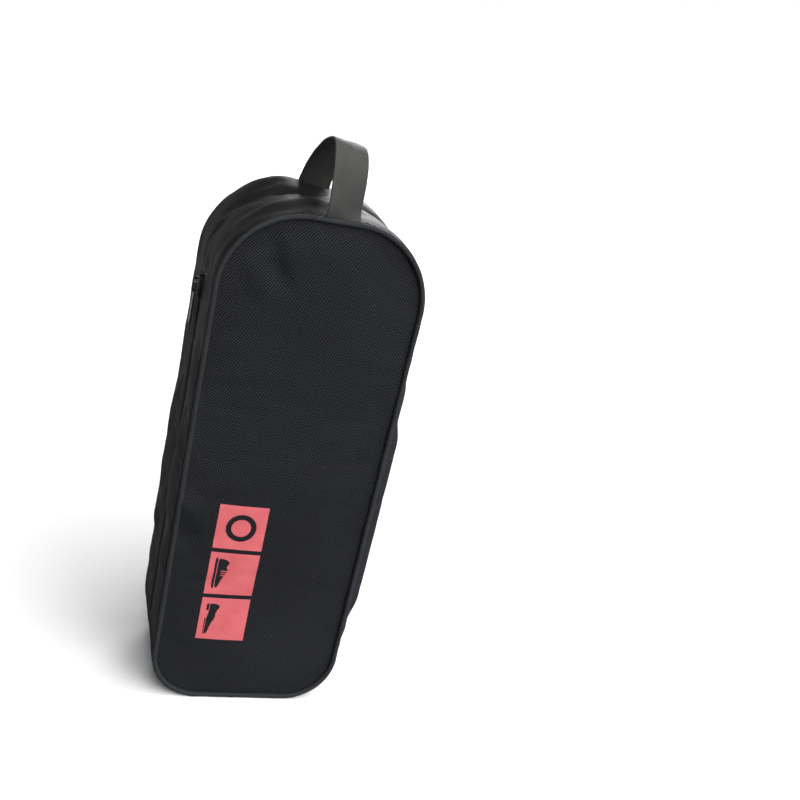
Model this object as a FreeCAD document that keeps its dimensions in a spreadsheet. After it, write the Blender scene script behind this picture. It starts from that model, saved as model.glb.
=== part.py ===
import FreeCAD, Part
import math
import os

import Sketcher

# A soft travel bag for one pair of shoes, standing upright on its bottom, in millimetres.
# X runs across the bag, Y from the cloth face (-Y) to the clear window (+Y), and Z is up. The
# origin is the middle of the bottom, where the bag rests. The zipper lies in the -X side, in a
# frame of its own: its Z runs up the leaning side and its X points into the bag.

SIZES = (
    ("bag_tall", 375.0, "height of the body"),
    ("bag_deep", 102.0, "depth over both pipings"),
    ("top_wide", 144.0, "width at the top corners"),
    ("bottom_wide", 139.0, "width at the bottom corners"),
    ("top_round", 56.0, "radius of the top corners"),
    ("bottom_round", 37.0, "radius of the bottom corners"),
    ("cloth", 1.0, "thickness of the gusset and panel cloth"),
    ("window_thick", 0.5, "thickness of the clear window"),
    ("piping_dia", 3.6, "outside diameter of the covered piping"),
    ("piping_bore", 2.4, "bore of the piping cover"),
    ("cord_dia", 2.3, "diameter of the cord in the piping"),
    ("binding_thick", 1.6, "thickness of the bound seam allowance"),
    ("binding_wide", 9.0, "width of the bound seam allowance"),
    ("play", 0.3, "gap between cloth that moves and its neighbours"),
    ("seam_gap", 0.1, "gap between cloth pieces sewn to each other"),
    ("mouth_low", 44.0, "height of the zipper's lower end"),
    ("mouth_high", 312.0, "height of the zipper's upper end"),
    ("seam_high", 325.0, "height of the seam between the gusset cloths, opposite the zipper"),
    ("mouth_gap", 14.0, "width of the slot that shows the zipper"),
    ("tape_wide", 13.0, "width of one zipper tape"),
    ("tape_thick", 0.6, "thickness of a zipper tape"),
    ("coil_wide", 3.0, "width of one zipper coil"),
    ("coil_thick", 2.2, "height of the zipper coil"),
    ("coil_mesh", 0.15, "half the gap between the closed coils"),
    ("coil_part", 1.3, "how far each coil moves out round the slider's post"),
    ("slider_long", 13.0, "length of the slider"),
    ("slider_nose", 11.9, "width of the slider over the parting end"),
    ("slider_tail", 9.2, "width of the slider over the closing end"),
    ("wing_thick", 1.3, "thickness of the slider's wings"),
    ("flange_wide", 1.1, "width of the slider's side flanges"),
    ("post_wide", 2.2, "width of the post that parts the coils"),
    ("bridge_wide", 2.4, "width of the slider's bridge"),
    ("bridge_tall", 3.7, "height of the bridge over the wing"),
    ("bridge_thick", 1.1, "thickness of the bridge"),
    ("pull_long", 30.0, "length of the pull below its bar"),
    ("pull_wide", 8.6, "width of the pull"),
    ("pull_thick", 1.3, "thickness of the pull"),
    ("pull_eye", 8.4, "length of the pull's eye"),
    ("web_wide", 25.0, "width of the handle webbing"),
    ("web_thick", 1.6, "thickness of the handle webbing"),
    ("handle_rise", 52.0, "height of the handle's corner over the body"),
    ("print_wide", 35.0, "width of a printed square"),
    ("print_tall", 35.0, "height of a printed square"),
    ("print_gap", 3.3, "gap between the printed squares"),
    ("print_thick", 0.15, "thickness of the print film"),
    ("print_across", 23.6, "distance of the prints from the middle"),
    ("print_up", 69.8, "height of the lowest print's middle"),
)


class Length:
    """A length in millimetres with the sheet formula that drives it."""

    def __init__(self, number, formula):
        self.number = number
        self.formula = formula

    def join(self, sign, other):
        """This length and another one, or a plain number, added or taken away."""
        if not isinstance(other, Length):
            other = Length(float(other), f"{other}")
        number = self.number + (other.number if sign == "+" else -other.number)
        return Length(number, f"({self.formula} {sign} {other.formula})")

    def __add__(self, other):
        return self.join("+", other)

    def __sub__(self, other):
        return self.join("-", other)

    def __mul__(self, factor):
        return Length(self.number * factor, f"({self.formula} * {factor})")

    def __neg__(self):
        return self * -1


NOTHING = Length(0.0, "0")

# Places along the slider, as shares of its length from its lower end.
STAPLE_LOW = 0.16
COILS_BEGIN_TO_PART = 0.2
WING_SHOULDER = 0.5
COILS_PARTED = 0.6
POST_TIP = 0.62
BAR_PLACE = 0.72
POST_SHOULDER = 0.8
STAPLE_HIGH = 0.93

# The pull's shape, as shares of its half width or, for its bar, of its thickness.
PULL_SLOT = 0.58
PULL_WAIST = 0.72
PULL_BAR = 0.6
BAR_UNDER_BRIDGE = 0.35
BRIDGE_BEND = 0.9

# The handle's line: shares of its rise and of its reach, and its bends in webbing thicknesses.
KNEE_RISE = 0.32
FOLD_REACH = 0.62
HANDLE_BENDS = (19, 8, 7)
doc = FreeCAD.newDocument("ShoeBag")
pieces = []


def make_sheet():
    """The sheet of driving sizes, and each size by its name."""
    sheet = doc.addObject("Spreadsheet::Sheet", "Sizes")
    for row, (alias, number, meaning) in enumerate(SIZES, start=1):
        sheet.set(f"A{row}", meaning)
        sheet.set(f"B{row}", str(number))
        sheet.setAlias(f"B{row}", alias)
    doc.recompute()
    return {alias: Length(number, f"Sizes.{alias}") for alias, number, _ in SIZES}


size = make_sheet()


# ---- Sketch and feature helpers ----


def new_body(label):
    """A body that becomes one named piece."""
    body = doc.addObject("PartDesign::Body", label)
    body.Label = label
    pieces.append(body)
    return body


def new_sketch(body, role, offset=NOTHING):
    """A sketch on one of the body's own origin planes, moved along the plane's normal."""
    plane = next(item for item in body.Origin.OriginFeatures if item.Role == role)
    sketch = body.newObject("Sketcher::SketchObject", f"{body.Label}_sketch")
    sketch.AttachmentSupport = (plane, [""])
    sketch.MapMode = "FlatFace"
    sketch.setExpression(".AttachmentOffset.Base.z", offset.formula)
    return sketch


def hold(sketch, kind, geo, point, length):
    """Keeps a point of the sketch at a distance from its origin, along X or along Y."""
    if abs(length.number) < 1e-9:
        axis = -2 if kind == "DistanceX" else -1
        sketch.addConstraint(Sketcher.Constraint("PointOnObject", geo, point, axis))
        return
    ends = (-1, 1, geo, point)
    if length.number < 0:
        ends = (geo, point, -1, 1)
        length = -length
    index = sketch.addConstraint(Sketcher.Constraint(kind, *ends, length.number))
    sketch.setExpression(f"Constraints[{index}]", length.formula)


def hold_radius(sketch, geo, length):
    """Drives the radius of an arc or a circle from the sheet."""
    index = sketch.addConstraint(Sketcher.Constraint("Radius", geo, length.number))
    sketch.setExpression(f"Constraints[{index}]", length.formula)


def add_polygon(sketch, corners):
    """A closed polygon through corners, each a pair of lengths."""
    first = sketch.GeometryCount
    count = len(corners)
    for start, end in zip(corners, corners[1:] + corners[:1]):
        line = Part.LineSegment(
            FreeCAD.Vector(start[0].number, start[1].number, 0),
            FreeCAD.Vector(end[0].number, end[1].number, 0),
        )
        sketch.addGeometry(line, False)
    for step, corner in enumerate(corners):
        after = first + (step + 1) % count
        sketch.addConstraint(Sketcher.Constraint("Coincident", first + step, 2, after, 1))
        hold(sketch, "DistanceX", first + step, 1, corner[0])
        hold(sketch, "DistanceY", first + step, 1, corner[1])


def add_rectangle(sketch, low_x, high_x, low_y, high_y):
    """A rectangle from its four sides."""
    add_polygon(sketch, [(low_x, low_y), (high_x, low_y), (high_x, high_y), (low_x, high_y)])


def add_circle(sketch, across, up, radius):
    """A circle with its centre and radius driven by the sheet."""
    centre = FreeCAD.Vector(across.number, up.number, 0)
    circle = Part.Circle(centre, FreeCAD.Vector(0, 0, 1), radius.number)
    geo = sketch.addGeometry(circle, False)
    hold(sketch, "DistanceX", geo, 3, across)
    hold(sketch, "DistanceY", geo, 3, up)
    hold_radius(sketch, geo, radius)


def add_rounded_path(sketch, corners, radii):
    """An open path of straight runs with a tangent arc of the given radius at each inner corner."""
    points = [FreeCAD.Vector(x.number, y.number, 0) for x, y in corners]
    ways = [(b - a).normalize() for a, b in zip(points, points[1:])]
    arcs = []
    start = points[0]
    lines = []
    for point, way_in, way_out, radius in zip(points[1:], ways, ways[1:], radii):
        turn = way_in.getAngle(way_out)
        trim = radius.number * math.tan(turn / 2)
        arc_in = point - way_in * trim
        arc_out = point + way_out * trim
        inward = (way_out - way_in).normalize()
        bulge = point + inward * (radius.number / math.cos(turn / 2) - radius.number)
        lines.append(sketch.addGeometry(Part.LineSegment(start, arc_in), False))
        arcs.append((sketch.addGeometry(Part.Arc(arc_in, bulge, arc_out), False), arc_in))
        start = arc_out
    lines.append(sketch.addGeometry(Part.LineSegment(start, points[-1]), False))
    for step, (arc, arc_in) in enumerate(arcs):
        begins = (sketch.getPoint(arc, 1) - arc_in).Length < 1e-6
        near, far = (1, 2) if begins else (2, 1)
        sketch.addConstraint(Sketcher.Constraint("Tangent", lines[step], 2, arc, near))
        sketch.addConstraint(Sketcher.Constraint("Tangent", arc, far, lines[step + 1], 1))
        hold_radius(sketch, arc, radii[step])
        corner = sketch.addGeometry(Part.Point(points[step + 1]), True)
        hold(sketch, "DistanceX", corner, 1, corners[step + 1][0])
        hold(sketch, "DistanceY", corner, 1, corners[step + 1][1])
        for line in (lines[step], lines[step + 1]):
            sketch.addConstraint(Sketcher.Constraint("PointOnObject", corner, 1, line))
    for line, end, corner in ((lines[0], 1, corners[0]), (lines[-1], 2, corners[-1])):
        hold(sketch, "DistanceX", line, end, corner[0])
        hold(sketch, "DistanceY", line, end, corner[1])


def add_pad(body, sketch, length):
    """Pads a sketch along its normal."""
    pad = body.newObject("PartDesign::Pad", f"{body.Label}_pad")
    pad.Profile = sketch
    pad.setExpression("Length", length.formula)
    doc.recompute()
    return pad


def add_block(body, role, low, high, corners):
    """Pads a polygon on one of the body's planes from low to high along the plane's normal."""
    sketch = new_sketch(body, role, low)
    add_polygon(sketch, corners)
    return add_pad(body, sketch, high - low)


def add_fillet(body, base, edges, radius):
    """Rounds the named edges of a feature."""
    fillet = body.newObject("PartDesign::Fillet", f"{body.Label}_round")
    fillet.Base = (base, edges)
    fillet.Radius = radius
    doc.recompute()
    return fillet


def edges_at(feature, keep):
    """The names of the edges whose middle passes a test."""
    names = []
    for number, edge in enumerate(feature.Shape.Edges, start=1):
        middle = edge.valueAt((edge.FirstParameter + edge.LastParameter) / 2)
        if keep(edge, middle):
            names.append(f"Edge{number}")
    return names


# ---- The outline of the bag, seen from the front ----

top_centre_x = size["top_wide"] * 0.5 - size["top_round"]
top_centre_z = size["bag_tall"] - size["top_round"]
bottom_centre_x = size["bottom_wide"] * 0.5 - size["bottom_round"]
bottom_centre_z = size["bottom_round"]


def side_lean():
    """How far each straight side leans outwards from vertical, in radians."""
    across = bottom_centre_x.number - top_centre_x.number
    up = top_centre_z.number - bottom_centre_z.number
    swing = size["top_round"].number - size["bottom_round"].number
    return math.asin(swing / math.hypot(across, up)) - math.atan2(across, up)


def add_outline(sketch, inset):
    """The rounded, tapered outline of the bag, moved in by inset. It starts with the top edge."""
    lean = side_lean()
    quarter = math.pi / 2
    rounds = (
        (top_centre_x, top_centre_z, size["top_round"] - inset, -lean, quarter),
        (-top_centre_x, top_centre_z, size["top_round"] - inset, quarter, 2 * quarter + lean),
        (-bottom_centre_x, bottom_centre_z, size["bottom_round"] - inset, -2 * quarter + lean, -quarter),
        (bottom_centre_x, bottom_centre_z, size["bottom_round"] - inset, -quarter, -lean),
    )
    arcs = []
    for across, up, radius, begin, end in rounds:
        centre = FreeCAD.Vector(across.number, up.number, 0)
        circle = Part.Circle(centre, FreeCAD.Vector(0, 0, 1), radius.number)
        arcs.append(sketch.addGeometry(Part.ArcOfCircle(circle, begin, end), False))
    for (across, up, radius, _, _), arc in zip(rounds, arcs):
        hold(sketch, "DistanceX", arc, 3, across)
        hold(sketch, "DistanceY", arc, 3, up)
        hold_radius(sketch, arc, radius)
    for arc, after in zip(arcs, arcs[1:] + arcs[:1]):
        line = Part.LineSegment(sketch.getPoint(arc, 2), sketch.getPoint(after, 1))
        edge = sketch.addGeometry(line, False)
        sketch.addConstraint(Sketcher.Constraint("Tangent", arc, 2, edge, 1))
        sketch.addConstraint(Sketcher.Constraint("Tangent", edge, 2, after, 1))


def add_ring(body, inset, thick, front, deep):
    """A ring of cloth that follows the outline, from a depth in front of the middle to the back."""
    sketch = new_sketch(body, "XZ_Plane", front - deep)
    add_outline(sketch, inset)
    add_outline(sketch, inset + thick)
    return add_pad(body, sketch, deep)


def keep_only(ring, label, boxes):
    """The part of a ring of cloth that lies in the given boxes, each low and high corners."""
    blocks = []
    for low, high in boxes:
        block = doc.addObject("Part::Box", f"{label}_block")
        for name, begin, end in zip(("Length", "Width", "Height"), low, high):
            block.setExpression(name, (end - begin).formula)
        for axis, begin in zip("xyz", low):
            block.setExpression(f".Placement.Base.{axis}", begin.formula)
        blocks.append(block)
    tool = blocks[0]
    if len(blocks) > 1:
        tool = doc.addObject("Part::MultiFuse", f"{label}_blocks")
        tool.Shapes = blocks
    piece = doc.addObject("Part::Common", label)
    piece.Label = label
    piece.Base = ring
    piece.Tool = tool
    doc.recompute()
    pieces.remove(ring)
    pieces.append(piece)
    return piece


# ---- Faces, pipings and seams ----

piping_radius = size["piping_dia"] * 0.5
piping_inset = piping_radius + size["seam_gap"]
piping_depth = size["bag_deep"] * 0.5 - piping_radius
gusset_half = piping_depth - piping_radius - size["seam_gap"] * 2
face_inset = size["piping_dia"] + size["seam_gap"] * 2


def make_faces():
    """The cloth front panel and the clear window behind it, each inside its ring of piping."""
    for label, thick, middle in (
        ("front_panel", size["cloth"], piping_depth),
        ("rear_window", size["window_thick"], -piping_depth),
    ):
        body = new_body(label)
        sketch = new_sketch(body, "XZ_Plane", middle - thick * 0.5)
        add_outline(sketch, face_inset)
        add_pad(body, sketch, thick)


def add_pipe(body, kind, path, radius, middle):
    """Adds or takes away a round pipe of the given radius along a path round a face."""
    profile = new_sketch(body, "YZ_Plane")
    profile.setExpression(".AttachmentOffset.Base.z", (-top_centre_x).formula)
    add_circle(profile, -middle, size["bag_tall"] - piping_inset, radius)
    doc.recompute()
    pipe = body.newObject(f"PartDesign::{kind}", f"{body.Label}_pipe")
    pipe.Profile = profile
    pipe.Spine = (path, [f"Edge{number}" for number in range(1, 9)])
    doc.recompute()


def make_piping(side, middle):
    """The piping round one face: a folded cloth cover and the cord in it."""
    for label, outside, bore in (
        (f"{side}_piping_cover", size["piping_dia"] * 0.5, size["piping_bore"] * 0.5),
        (f"{side}_piping_cord", size["cord_dia"] * 0.5, None),
    ):
        body = new_body(label)
        path = new_sketch(body, "XZ_Plane", middle)
        add_outline(path, piping_inset)
        add_pipe(body, "AdditivePipe", path, outside, middle)
        if bore:
            add_pipe(body, "SubtractivePipe", path, bore, middle)


def make_bindings():
    """The bound seam allowances that run round the inside of each face."""
    inset = size["cloth"] + size["play"]
    front = gusset_half - size["seam_gap"]
    for label, begin in (
        ("front_seam_binding", front),
        ("rear_seam_binding", size["binding_wide"] - front),
    ):
        add_ring(new_body(label), inset, size["binding_thick"], begin, size["binding_wide"])


def make_gussets():
    """The nylon gusset over the top, and the coarse one down the +X side and under the bottom."""
    far = size["top_wide"]
    sky = size["bag_tall"] * 1.1
    seam = size["seam_high"]
    front, rear = -gusset_half, gusset_half
    over = (
        ((-far, front, size["mouth_high"]), (NOTHING, rear, sky)),
        ((NOTHING, front, seam), (far, rear, sky)),
    )
    under = (
        ((-far, front, -size["cloth"]), (far, rear, size["mouth_low"])),
        ((NOTHING, front, NOTHING), (far, rear, seam - size["seam_gap"])),
    )
    for label, boxes in (("upper_gusset", over), ("lower_gusset", under)):
        ring = new_body(f"{label}_ring")
        add_ring(ring, NOTHING, size["cloth"], gusset_half, gusset_half * 2)
        keep_only(ring, label, boxes)


def make_prints():
    """Three thin printed squares in a column, low on the cloth face."""
    body = new_body("print_squares")
    face = piping_depth + size["cloth"] * 0.5
    sketch = new_sketch(body, "XZ_Plane", face)
    middle = -size["print_across"]
    pitch = size["print_tall"] + size["print_gap"]
    for step in range(3):
        up = size["print_up"] + pitch * step
        add_rectangle(
            sketch,
            middle - size["print_wide"] * 0.5,
            middle + size["print_wide"] * 0.5,
            up - size["print_tall"] * 0.5,
            up + size["print_tall"] * 0.5,
        )
    add_pad(body, sketch, size["print_thick"])


# ---- The zipper, in its own frame on the -X side ----

mouth_long = (size["mouth_high"] - size["mouth_low"]) * (1 / math.cos(side_lean()))
slider_foot = mouth_long - size["slider_long"] - size["play"] * 8
tape_face = size["cloth"] + size["seam_gap"]
coil_face = tape_face - size["seam_gap"] - size["coil_thick"]
wing_face = coil_face - size["play"] * 1.5
bar_out = wing_face - size["wing_thick"] - size["bridge_tall"] * BAR_UNDER_BRIDGE
bar_up = size["slider_long"] * BAR_PLACE


def side_point(height):
    """The point of the -X side's outer face at a height, with Y zero."""
    lean = side_lean()
    start = FreeCAD.Vector(
        -bottom_centre_x.number - size["bottom_round"].number * math.cos(lean),
        0,
        bottom_centre_z.number - size["bottom_round"].number * math.sin(lean),
    )
    up = height - start.z
    return start + FreeCAD.Vector(-up * math.tan(lean), 0, up)


def zipper_place():
    """The placement of the zipper's own frame, at the lower end of the mouth."""
    turn = FreeCAD.Rotation(FreeCAD.Vector(0, 1, 0), -math.degrees(side_lean()))
    return FreeCAD.Placement(side_point(size["mouth_low"].number), turn)


def mirrored(corners, sign):
    """The corners with their first coordinate on the -Y side (sign -1) or the +Y side (sign 1)."""
    return [(across * sign, up) for across, up in corners]


def parted_edge(closed):
    """The inner edge of a coil or tape: straight, then moved out round the slider's post."""
    low = size["play"]
    high = mouth_long - size["play"]
    begin = slider_foot + size["slider_long"] * COILS_BEGIN_TO_PART
    end = slider_foot + size["slider_long"] * COILS_PARTED
    parted = closed + size["coil_part"]
    return [(closed, low), (closed, begin), (parted, end), (parted, high)]


def make_zip_half(side, sign):
    """One side of the zipper: the nylon strip beside the slot, the tape and the coil on it."""
    low = size["play"]
    high = mouth_long - size["play"]
    hem = gusset_half - size["play"] * 2
    strip_edge = size["mouth_gap"] * 0.5
    strip = [(strip_edge, low), (hem, low), (hem, high), (strip_edge, high)]
    tape_edge = parted_edge(size["coil_mesh"] * 3)
    tape_far = size["tape_wide"] + size["coil_mesh"] * 3
    tape = tape_edge + [(tape_far, high), (tape_far, low)]
    coil_edge = parted_edge(size["coil_mesh"])
    coil = coil_edge + [(across + size["coil_wide"], up) for across, up in reversed(coil_edge)]
    layers = (
        (f"{side}_zip_strip", strip, NOTHING, size["cloth"]),
        (f"{side}_zip_tape", tape, tape_face, tape_face + size["tape_thick"]),
        (f"{side}_zip_coil", coil, coil_face, coil_face + size["coil_thick"]),
    )
    for label, corners, begin, end in layers:
        body = new_body(label)
        add_block(body, "YZ_Plane", begin, end, mirrored(corners, sign))
        body.Placement = zipper_place()


def wing_outline():
    """The slider's outline seen from outside: narrow at its tail, wide where the coils part."""
    tail = size["slider_tail"] * 0.5
    nose = size["slider_nose"] * 0.5
    low = slider_foot
    shoulder = slider_foot + size["slider_long"] * WING_SHOULDER
    high = slider_foot + size["slider_long"]
    right = [(tail, low), (nose, shoulder), (nose, high)]
    return [(-across, up) for across, up in right] + right[::-1]


def flange_outline():
    """One side flange of the slider, on the +Y side, along the edge of the wing."""
    tail = size["slider_tail"] * 0.5
    nose = size["slider_nose"] * 0.5
    wide = size["flange_wide"]
    low = slider_foot
    shoulder = slider_foot + size["slider_long"] * WING_SHOULDER
    high = slider_foot + size["slider_long"]
    outer = [(tail, low), (nose, shoulder), (nose, high)]
    return outer + [(across - wide, up) for across, up in reversed(outer)]


def post_outline():
    """The post that joins the wings and parts the coils."""
    half = size["post_wide"] * 0.5
    low = slider_foot + size["slider_long"] * POST_TIP
    middle = slider_foot + size["slider_long"] * POST_SHOULDER
    high = slider_foot + size["slider_long"]
    return [(NOTHING, low), (half, middle), (half, high), (-half, high), (-half, middle)]


def make_slider():
    """The slider's body: two wings joined by a post, with a flange down each side."""
    body = new_body("slider_body")
    outer_wing = wing_face - size["wing_thick"]
    inner_wing = tape_face + size["tape_thick"] + size["play"]
    wing = add_block(body, "YZ_Plane", outer_wing, wing_face, wing_outline())
    rim = edges_at(wing, lambda edge, middle: abs(middle.x - outer_wing.number) < 1e-6)
    add_fillet(body, wing, rim, size["wing_thick"].number * 0.5)
    add_block(body, "YZ_Plane", wing_face, inner_wing, post_outline())
    for sign in (-1, 1):
        flange = mirrored(flange_outline(), sign)
        add_block(body, "YZ_Plane", wing_face, tape_face - size["play"], flange)
    add_block(body, "YZ_Plane", inner_wing, inner_wing + size["wing_thick"], wing_outline())
    body.Placement = zipper_place()


def make_bridge():
    """The bridge over the slider's outer wing, which holds the pull's bar."""
    body = new_body("slider_bridge")
    foot = wing_face - size["wing_thick"]
    crown = foot - size["bridge_tall"]
    thick = size["bridge_thick"]
    low = slider_foot + size["slider_long"] * STAPLE_LOW
    high = slider_foot + size["slider_long"] * STAPLE_HIGH
    staple = [
        (foot, low),
        (crown, low),
        (crown, high),
        (foot, high),
        (foot, high - thick),
        (crown + thick, high - thick),
        (crown + thick, low + thick),
        (foot, low + thick),
    ]
    half = size["bridge_wide"] * 0.5
    block = add_block(body, "XZ_Plane", -half, half, staple)
    bends = edges_at(
        block,
        lambda edge, middle: abs(middle.x - crown.number) < 1e-6 and abs(middle.y) < 1e-6,
    )
    add_fillet(body, block, bends, thick.number * BRIDGE_BEND)
    body.Placement = zipper_place()


def pull_axis():
    """The middle of the pull's bar, in the bag's frame."""
    place = zipper_place()
    local = FreeCAD.Vector(bar_out.number, 0, (slider_foot + bar_up).number)
    return place.multVec(local)


def make_pull():
    """The pull that hangs from the bridge: an eye with a bar at its top, and a flat grip."""
    body = new_body("pull_tab")
    half = size["pull_wide"] * 0.5
    bar = size["pull_thick"] * PULL_BAR
    waist = half * PULL_WAIST
    eye_end = -(size["pull_eye"] + bar)
    foot = -size["pull_long"]
    outline = [
        (half, bar),
        (half, eye_end),
        (waist, eye_end - half),
        (half, foot + half),
        (waist, foot),
    ]
    outline += [(-across, up) for across, up in reversed(outline)]
    sketch = new_sketch(body, "YZ_Plane", -size["pull_thick"] * 0.5)
    add_polygon(sketch, outline)
    slot = half * PULL_SLOT
    add_rectangle(sketch, -slot, slot, eye_end + bar, -bar)
    pad = add_pad(body, sketch, size["pull_thick"])
    upright = edges_at(
        pad,
        lambda edge, middle: abs(middle.x) < 1e-6 and abs(middle.y) > slot.number + 1e-3,
    )
    add_fillet(body, pad, upright, bar.number)
    body.Placement = FreeCAD.Placement(pull_axis(), FreeCAD.Rotation())


# ---- The handle ----


def make_handle():
    """The webbing handle, sewn into the front and rear seams at the top, leaning to the front."""
    body = new_body("handle_webbing")
    leg = gusset_half - size["web_thick"] * 0.5
    foot = size["bag_tall"] + size["play"] * 2
    knee = size["bag_tall"] + size["handle_rise"] * KNEE_RISE
    crown = size["bag_tall"] + size["handle_rise"]
    corners = [
        (-leg, foot),
        (-leg, knee),
        (-leg * FOLD_REACH, crown),
        (leg, knee),
        (leg, foot),
    ]
    path = new_sketch(body, "YZ_Plane")
    radii = [size["web_thick"] * bend for bend in HANDLE_BENDS]
    add_rounded_path(path, corners, radii)
    profile = new_sketch(body, "XY_Plane", foot)
    wide = size["web_wide"] * 0.5
    thick = size["web_thick"] * 0.5
    add_rectangle(profile, -wide, wide, -leg - thick, -leg + thick)
    doc.recompute()
    strap = body.newObject("PartDesign::AdditivePipe", "handle_pipe")
    strap.Profile = profile
    strap.Spine = (path, [f"Edge{number}" for number in range(1, 8)])
    doc.recompute()
    far = size["bag_deep"] * 0.5
    corner = new_sketch(body, "XZ_Plane", -far)
    turn_up = foot + wide
    tall = size["bag_tall"] + size["handle_rise"] * 1.5
    add_trim(corner, wide, foot, turn_up, tall)
    before = strap.Shape.Volume
    trim = body.newObject("PartDesign::Pocket", "handle_trim")
    trim.Profile = corner
    trim.setExpression("Length", (far * 2).formula)
    trim.Reversed = True
    doc.recompute()
    if trim.Shape.Volume > before - 1:
        raise RuntimeError("the handle's feet were not rounded")


def add_trim(sketch, wide, foot, turn_up, tall):
    """All that lies outside an upright slot shape, so that a cut leaves the webbing round feet."""
    spare = wide * 2
    low = foot - wide
    high = tall + wide
    add_rectangle(sketch, -spare, spare, low, high)
    centre = FreeCAD.Vector(0, turn_up.number, 0)
    circle = Part.Circle(centre, FreeCAD.Vector(0, 0, 1), wide.number)
    arc = sketch.addGeometry(Part.ArcOfCircle(circle, math.pi, 2 * math.pi), False)
    hold(sketch, "DistanceX", arc, 3, NOTHING)
    hold(sketch, "DistanceY", arc, 3, turn_up)
    hold_radius(sketch, arc, wide)
    left, right = sketch.getPoint(arc, 1), sketch.getPoint(arc, 2)
    top_left = FreeCAD.Vector(left.x, tall.number, 0)
    top_right = FreeCAD.Vector(right.x, tall.number, 0)
    lines = []
    for start, end in ((right, top_right), (top_right, top_left), (top_left, left)):
        lines.append(sketch.addGeometry(Part.LineSegment(start, end), False))
    sketch.addConstraint(Sketcher.Constraint("Tangent", arc, 2, lines[0], 1))
    sketch.addConstraint(Sketcher.Constraint("Coincident", lines[0], 2, lines[1], 1))
    sketch.addConstraint(Sketcher.Constraint("Coincident", lines[1], 2, lines[2], 1))
    sketch.addConstraint(Sketcher.Constraint("Tangent", lines[2], 2, arc, 1))
    sketch.addConstraint(Sketcher.Constraint("Vertical", lines[0]))
    sketch.addConstraint(Sketcher.Constraint("Horizontal", lines[1]))
    sketch.addConstraint(Sketcher.Constraint("Vertical", lines[2]))
    hold(sketch, "DistanceY", lines[0], 2, tall)


# ---- Checks and files ----


def check_document():
    """Stops if a feature failed or a piece has no sound solid."""
    doc.recompute()
    for item in doc.Objects:
        if "Invalid" in item.State or "Error" in item.State:
            raise RuntimeError(f"{item.Label} failed: {item.State}")
    for piece in pieces:
        shape = piece.Shape
        if shape.isNull() or not shape.isValid() or not shape.Solids:
            raise RuntimeError(f"{piece.Label} has no sound solid")


def write_parts():
    """Writes each piece to a file of its own, and prints its place for the record."""
    os.makedirs("parts", exist_ok=True)
    for piece in pieces:
        piece.Shape.exportStep(f"parts/{piece.Label}.step")
        box = piece.Shape.optimalBoundingBox()
        print(
            f"{piece.Label}: {len(piece.Shape.Solids)} solid, {piece.Shape.Volume:.0f} mm3, "
            f"x {box.XMin:.2f} {box.XMax:.2f} y {box.YMin:.2f} {box.YMax:.2f} "
            f"z {box.ZMin:.2f} {box.ZMax:.2f}"
        )
    place = zipper_place()
    hem = gusset_half.number - size["play"].number * 2
    print("side lean, degrees:", math.degrees(side_lean()))
    print("zipper way:", place.Rotation.multVec(FreeCAD.Vector(0, 0, 1)))
    print("slider's foot above the mouth's end:", slider_foot.number)
    print("lip hinge:", place.multVec(FreeCAD.Vector(size["cloth"].number / 2, hem, 0)))
    print("pull hinge:", pull_axis())
    print("handle hinge height:", (size["bag_tall"] + size["play"] * 2 + size["web_wide"] * 0.5).number)


make_faces()
make_piping("front", piping_depth)
make_piping("rear", -piping_depth)
make_bindings()
make_gussets()
make_prints()
make_zip_half("front", -1)
make_zip_half("rear", 1)
make_slider()
make_bridge()
make_pull()
make_handle()
check_document()
write_parts()
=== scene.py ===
import math

import bmesh
import bpy
from mathutils import Matrix, Quaternion, Vector
from mathutils.bvhtree import BVHTree


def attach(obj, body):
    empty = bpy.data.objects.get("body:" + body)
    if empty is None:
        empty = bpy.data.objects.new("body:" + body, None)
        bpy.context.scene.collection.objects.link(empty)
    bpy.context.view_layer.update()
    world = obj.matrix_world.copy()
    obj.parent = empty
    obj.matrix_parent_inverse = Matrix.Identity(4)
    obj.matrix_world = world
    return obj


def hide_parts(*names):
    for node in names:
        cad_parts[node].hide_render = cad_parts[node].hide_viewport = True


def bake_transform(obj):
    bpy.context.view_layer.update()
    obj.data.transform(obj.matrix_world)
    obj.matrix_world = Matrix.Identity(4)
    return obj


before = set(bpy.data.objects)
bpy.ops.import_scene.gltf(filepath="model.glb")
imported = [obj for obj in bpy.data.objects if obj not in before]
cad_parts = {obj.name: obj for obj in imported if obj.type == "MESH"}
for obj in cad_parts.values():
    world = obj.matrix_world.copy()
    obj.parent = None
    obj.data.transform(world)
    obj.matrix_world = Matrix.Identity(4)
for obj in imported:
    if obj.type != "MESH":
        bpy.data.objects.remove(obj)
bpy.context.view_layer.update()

# The bag's cut sizes, in metres.
TALL = 0.375
TOP_WIDE = 0.144
BOTTOM_WIDE = 0.139
TOP_ROUND = 0.056
BOTTOM_ROUND = 0.037
SIDE_LEAN = math.atan((TOP_WIDE - BOTTOM_WIDE) / 2 / (TALL - TOP_ROUND - BOTTOM_ROUND))
SEAM_LINE = 0.0472
HINGE_LINE = 0.0466
MOUTH_LOW = 0.044
MOUTH_HIGH = 0.312
MOUTH_MIDDLE = (MOUTH_LOW + MOUTH_HIGH) / 2
SEAM_HIGH = 0.325
STRIP_EDGE = 0.007
PIPING_DIA = 0.0036
PIPING_LINE = 0.0492

# How thick each cloth is, and how fine a net of cells it is made as.
OXFORD_THICK = 0.0009
LOWER_OXFORD_THICK = 0.0010
NYLON_THICK = 0.0006
VINYL_THICK = 0.0004
BINDING_THICK = 0.0014
TAPE_THICK = 0.0006
WEBBING_THICK = 0.0015
WEBBING_WIDE = 0.025
CLOTH_CELL = 0.004
PIPING_CELL = 0.003
SETTLING_FRAMES = 18

scene = bpy.context.scene


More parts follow.
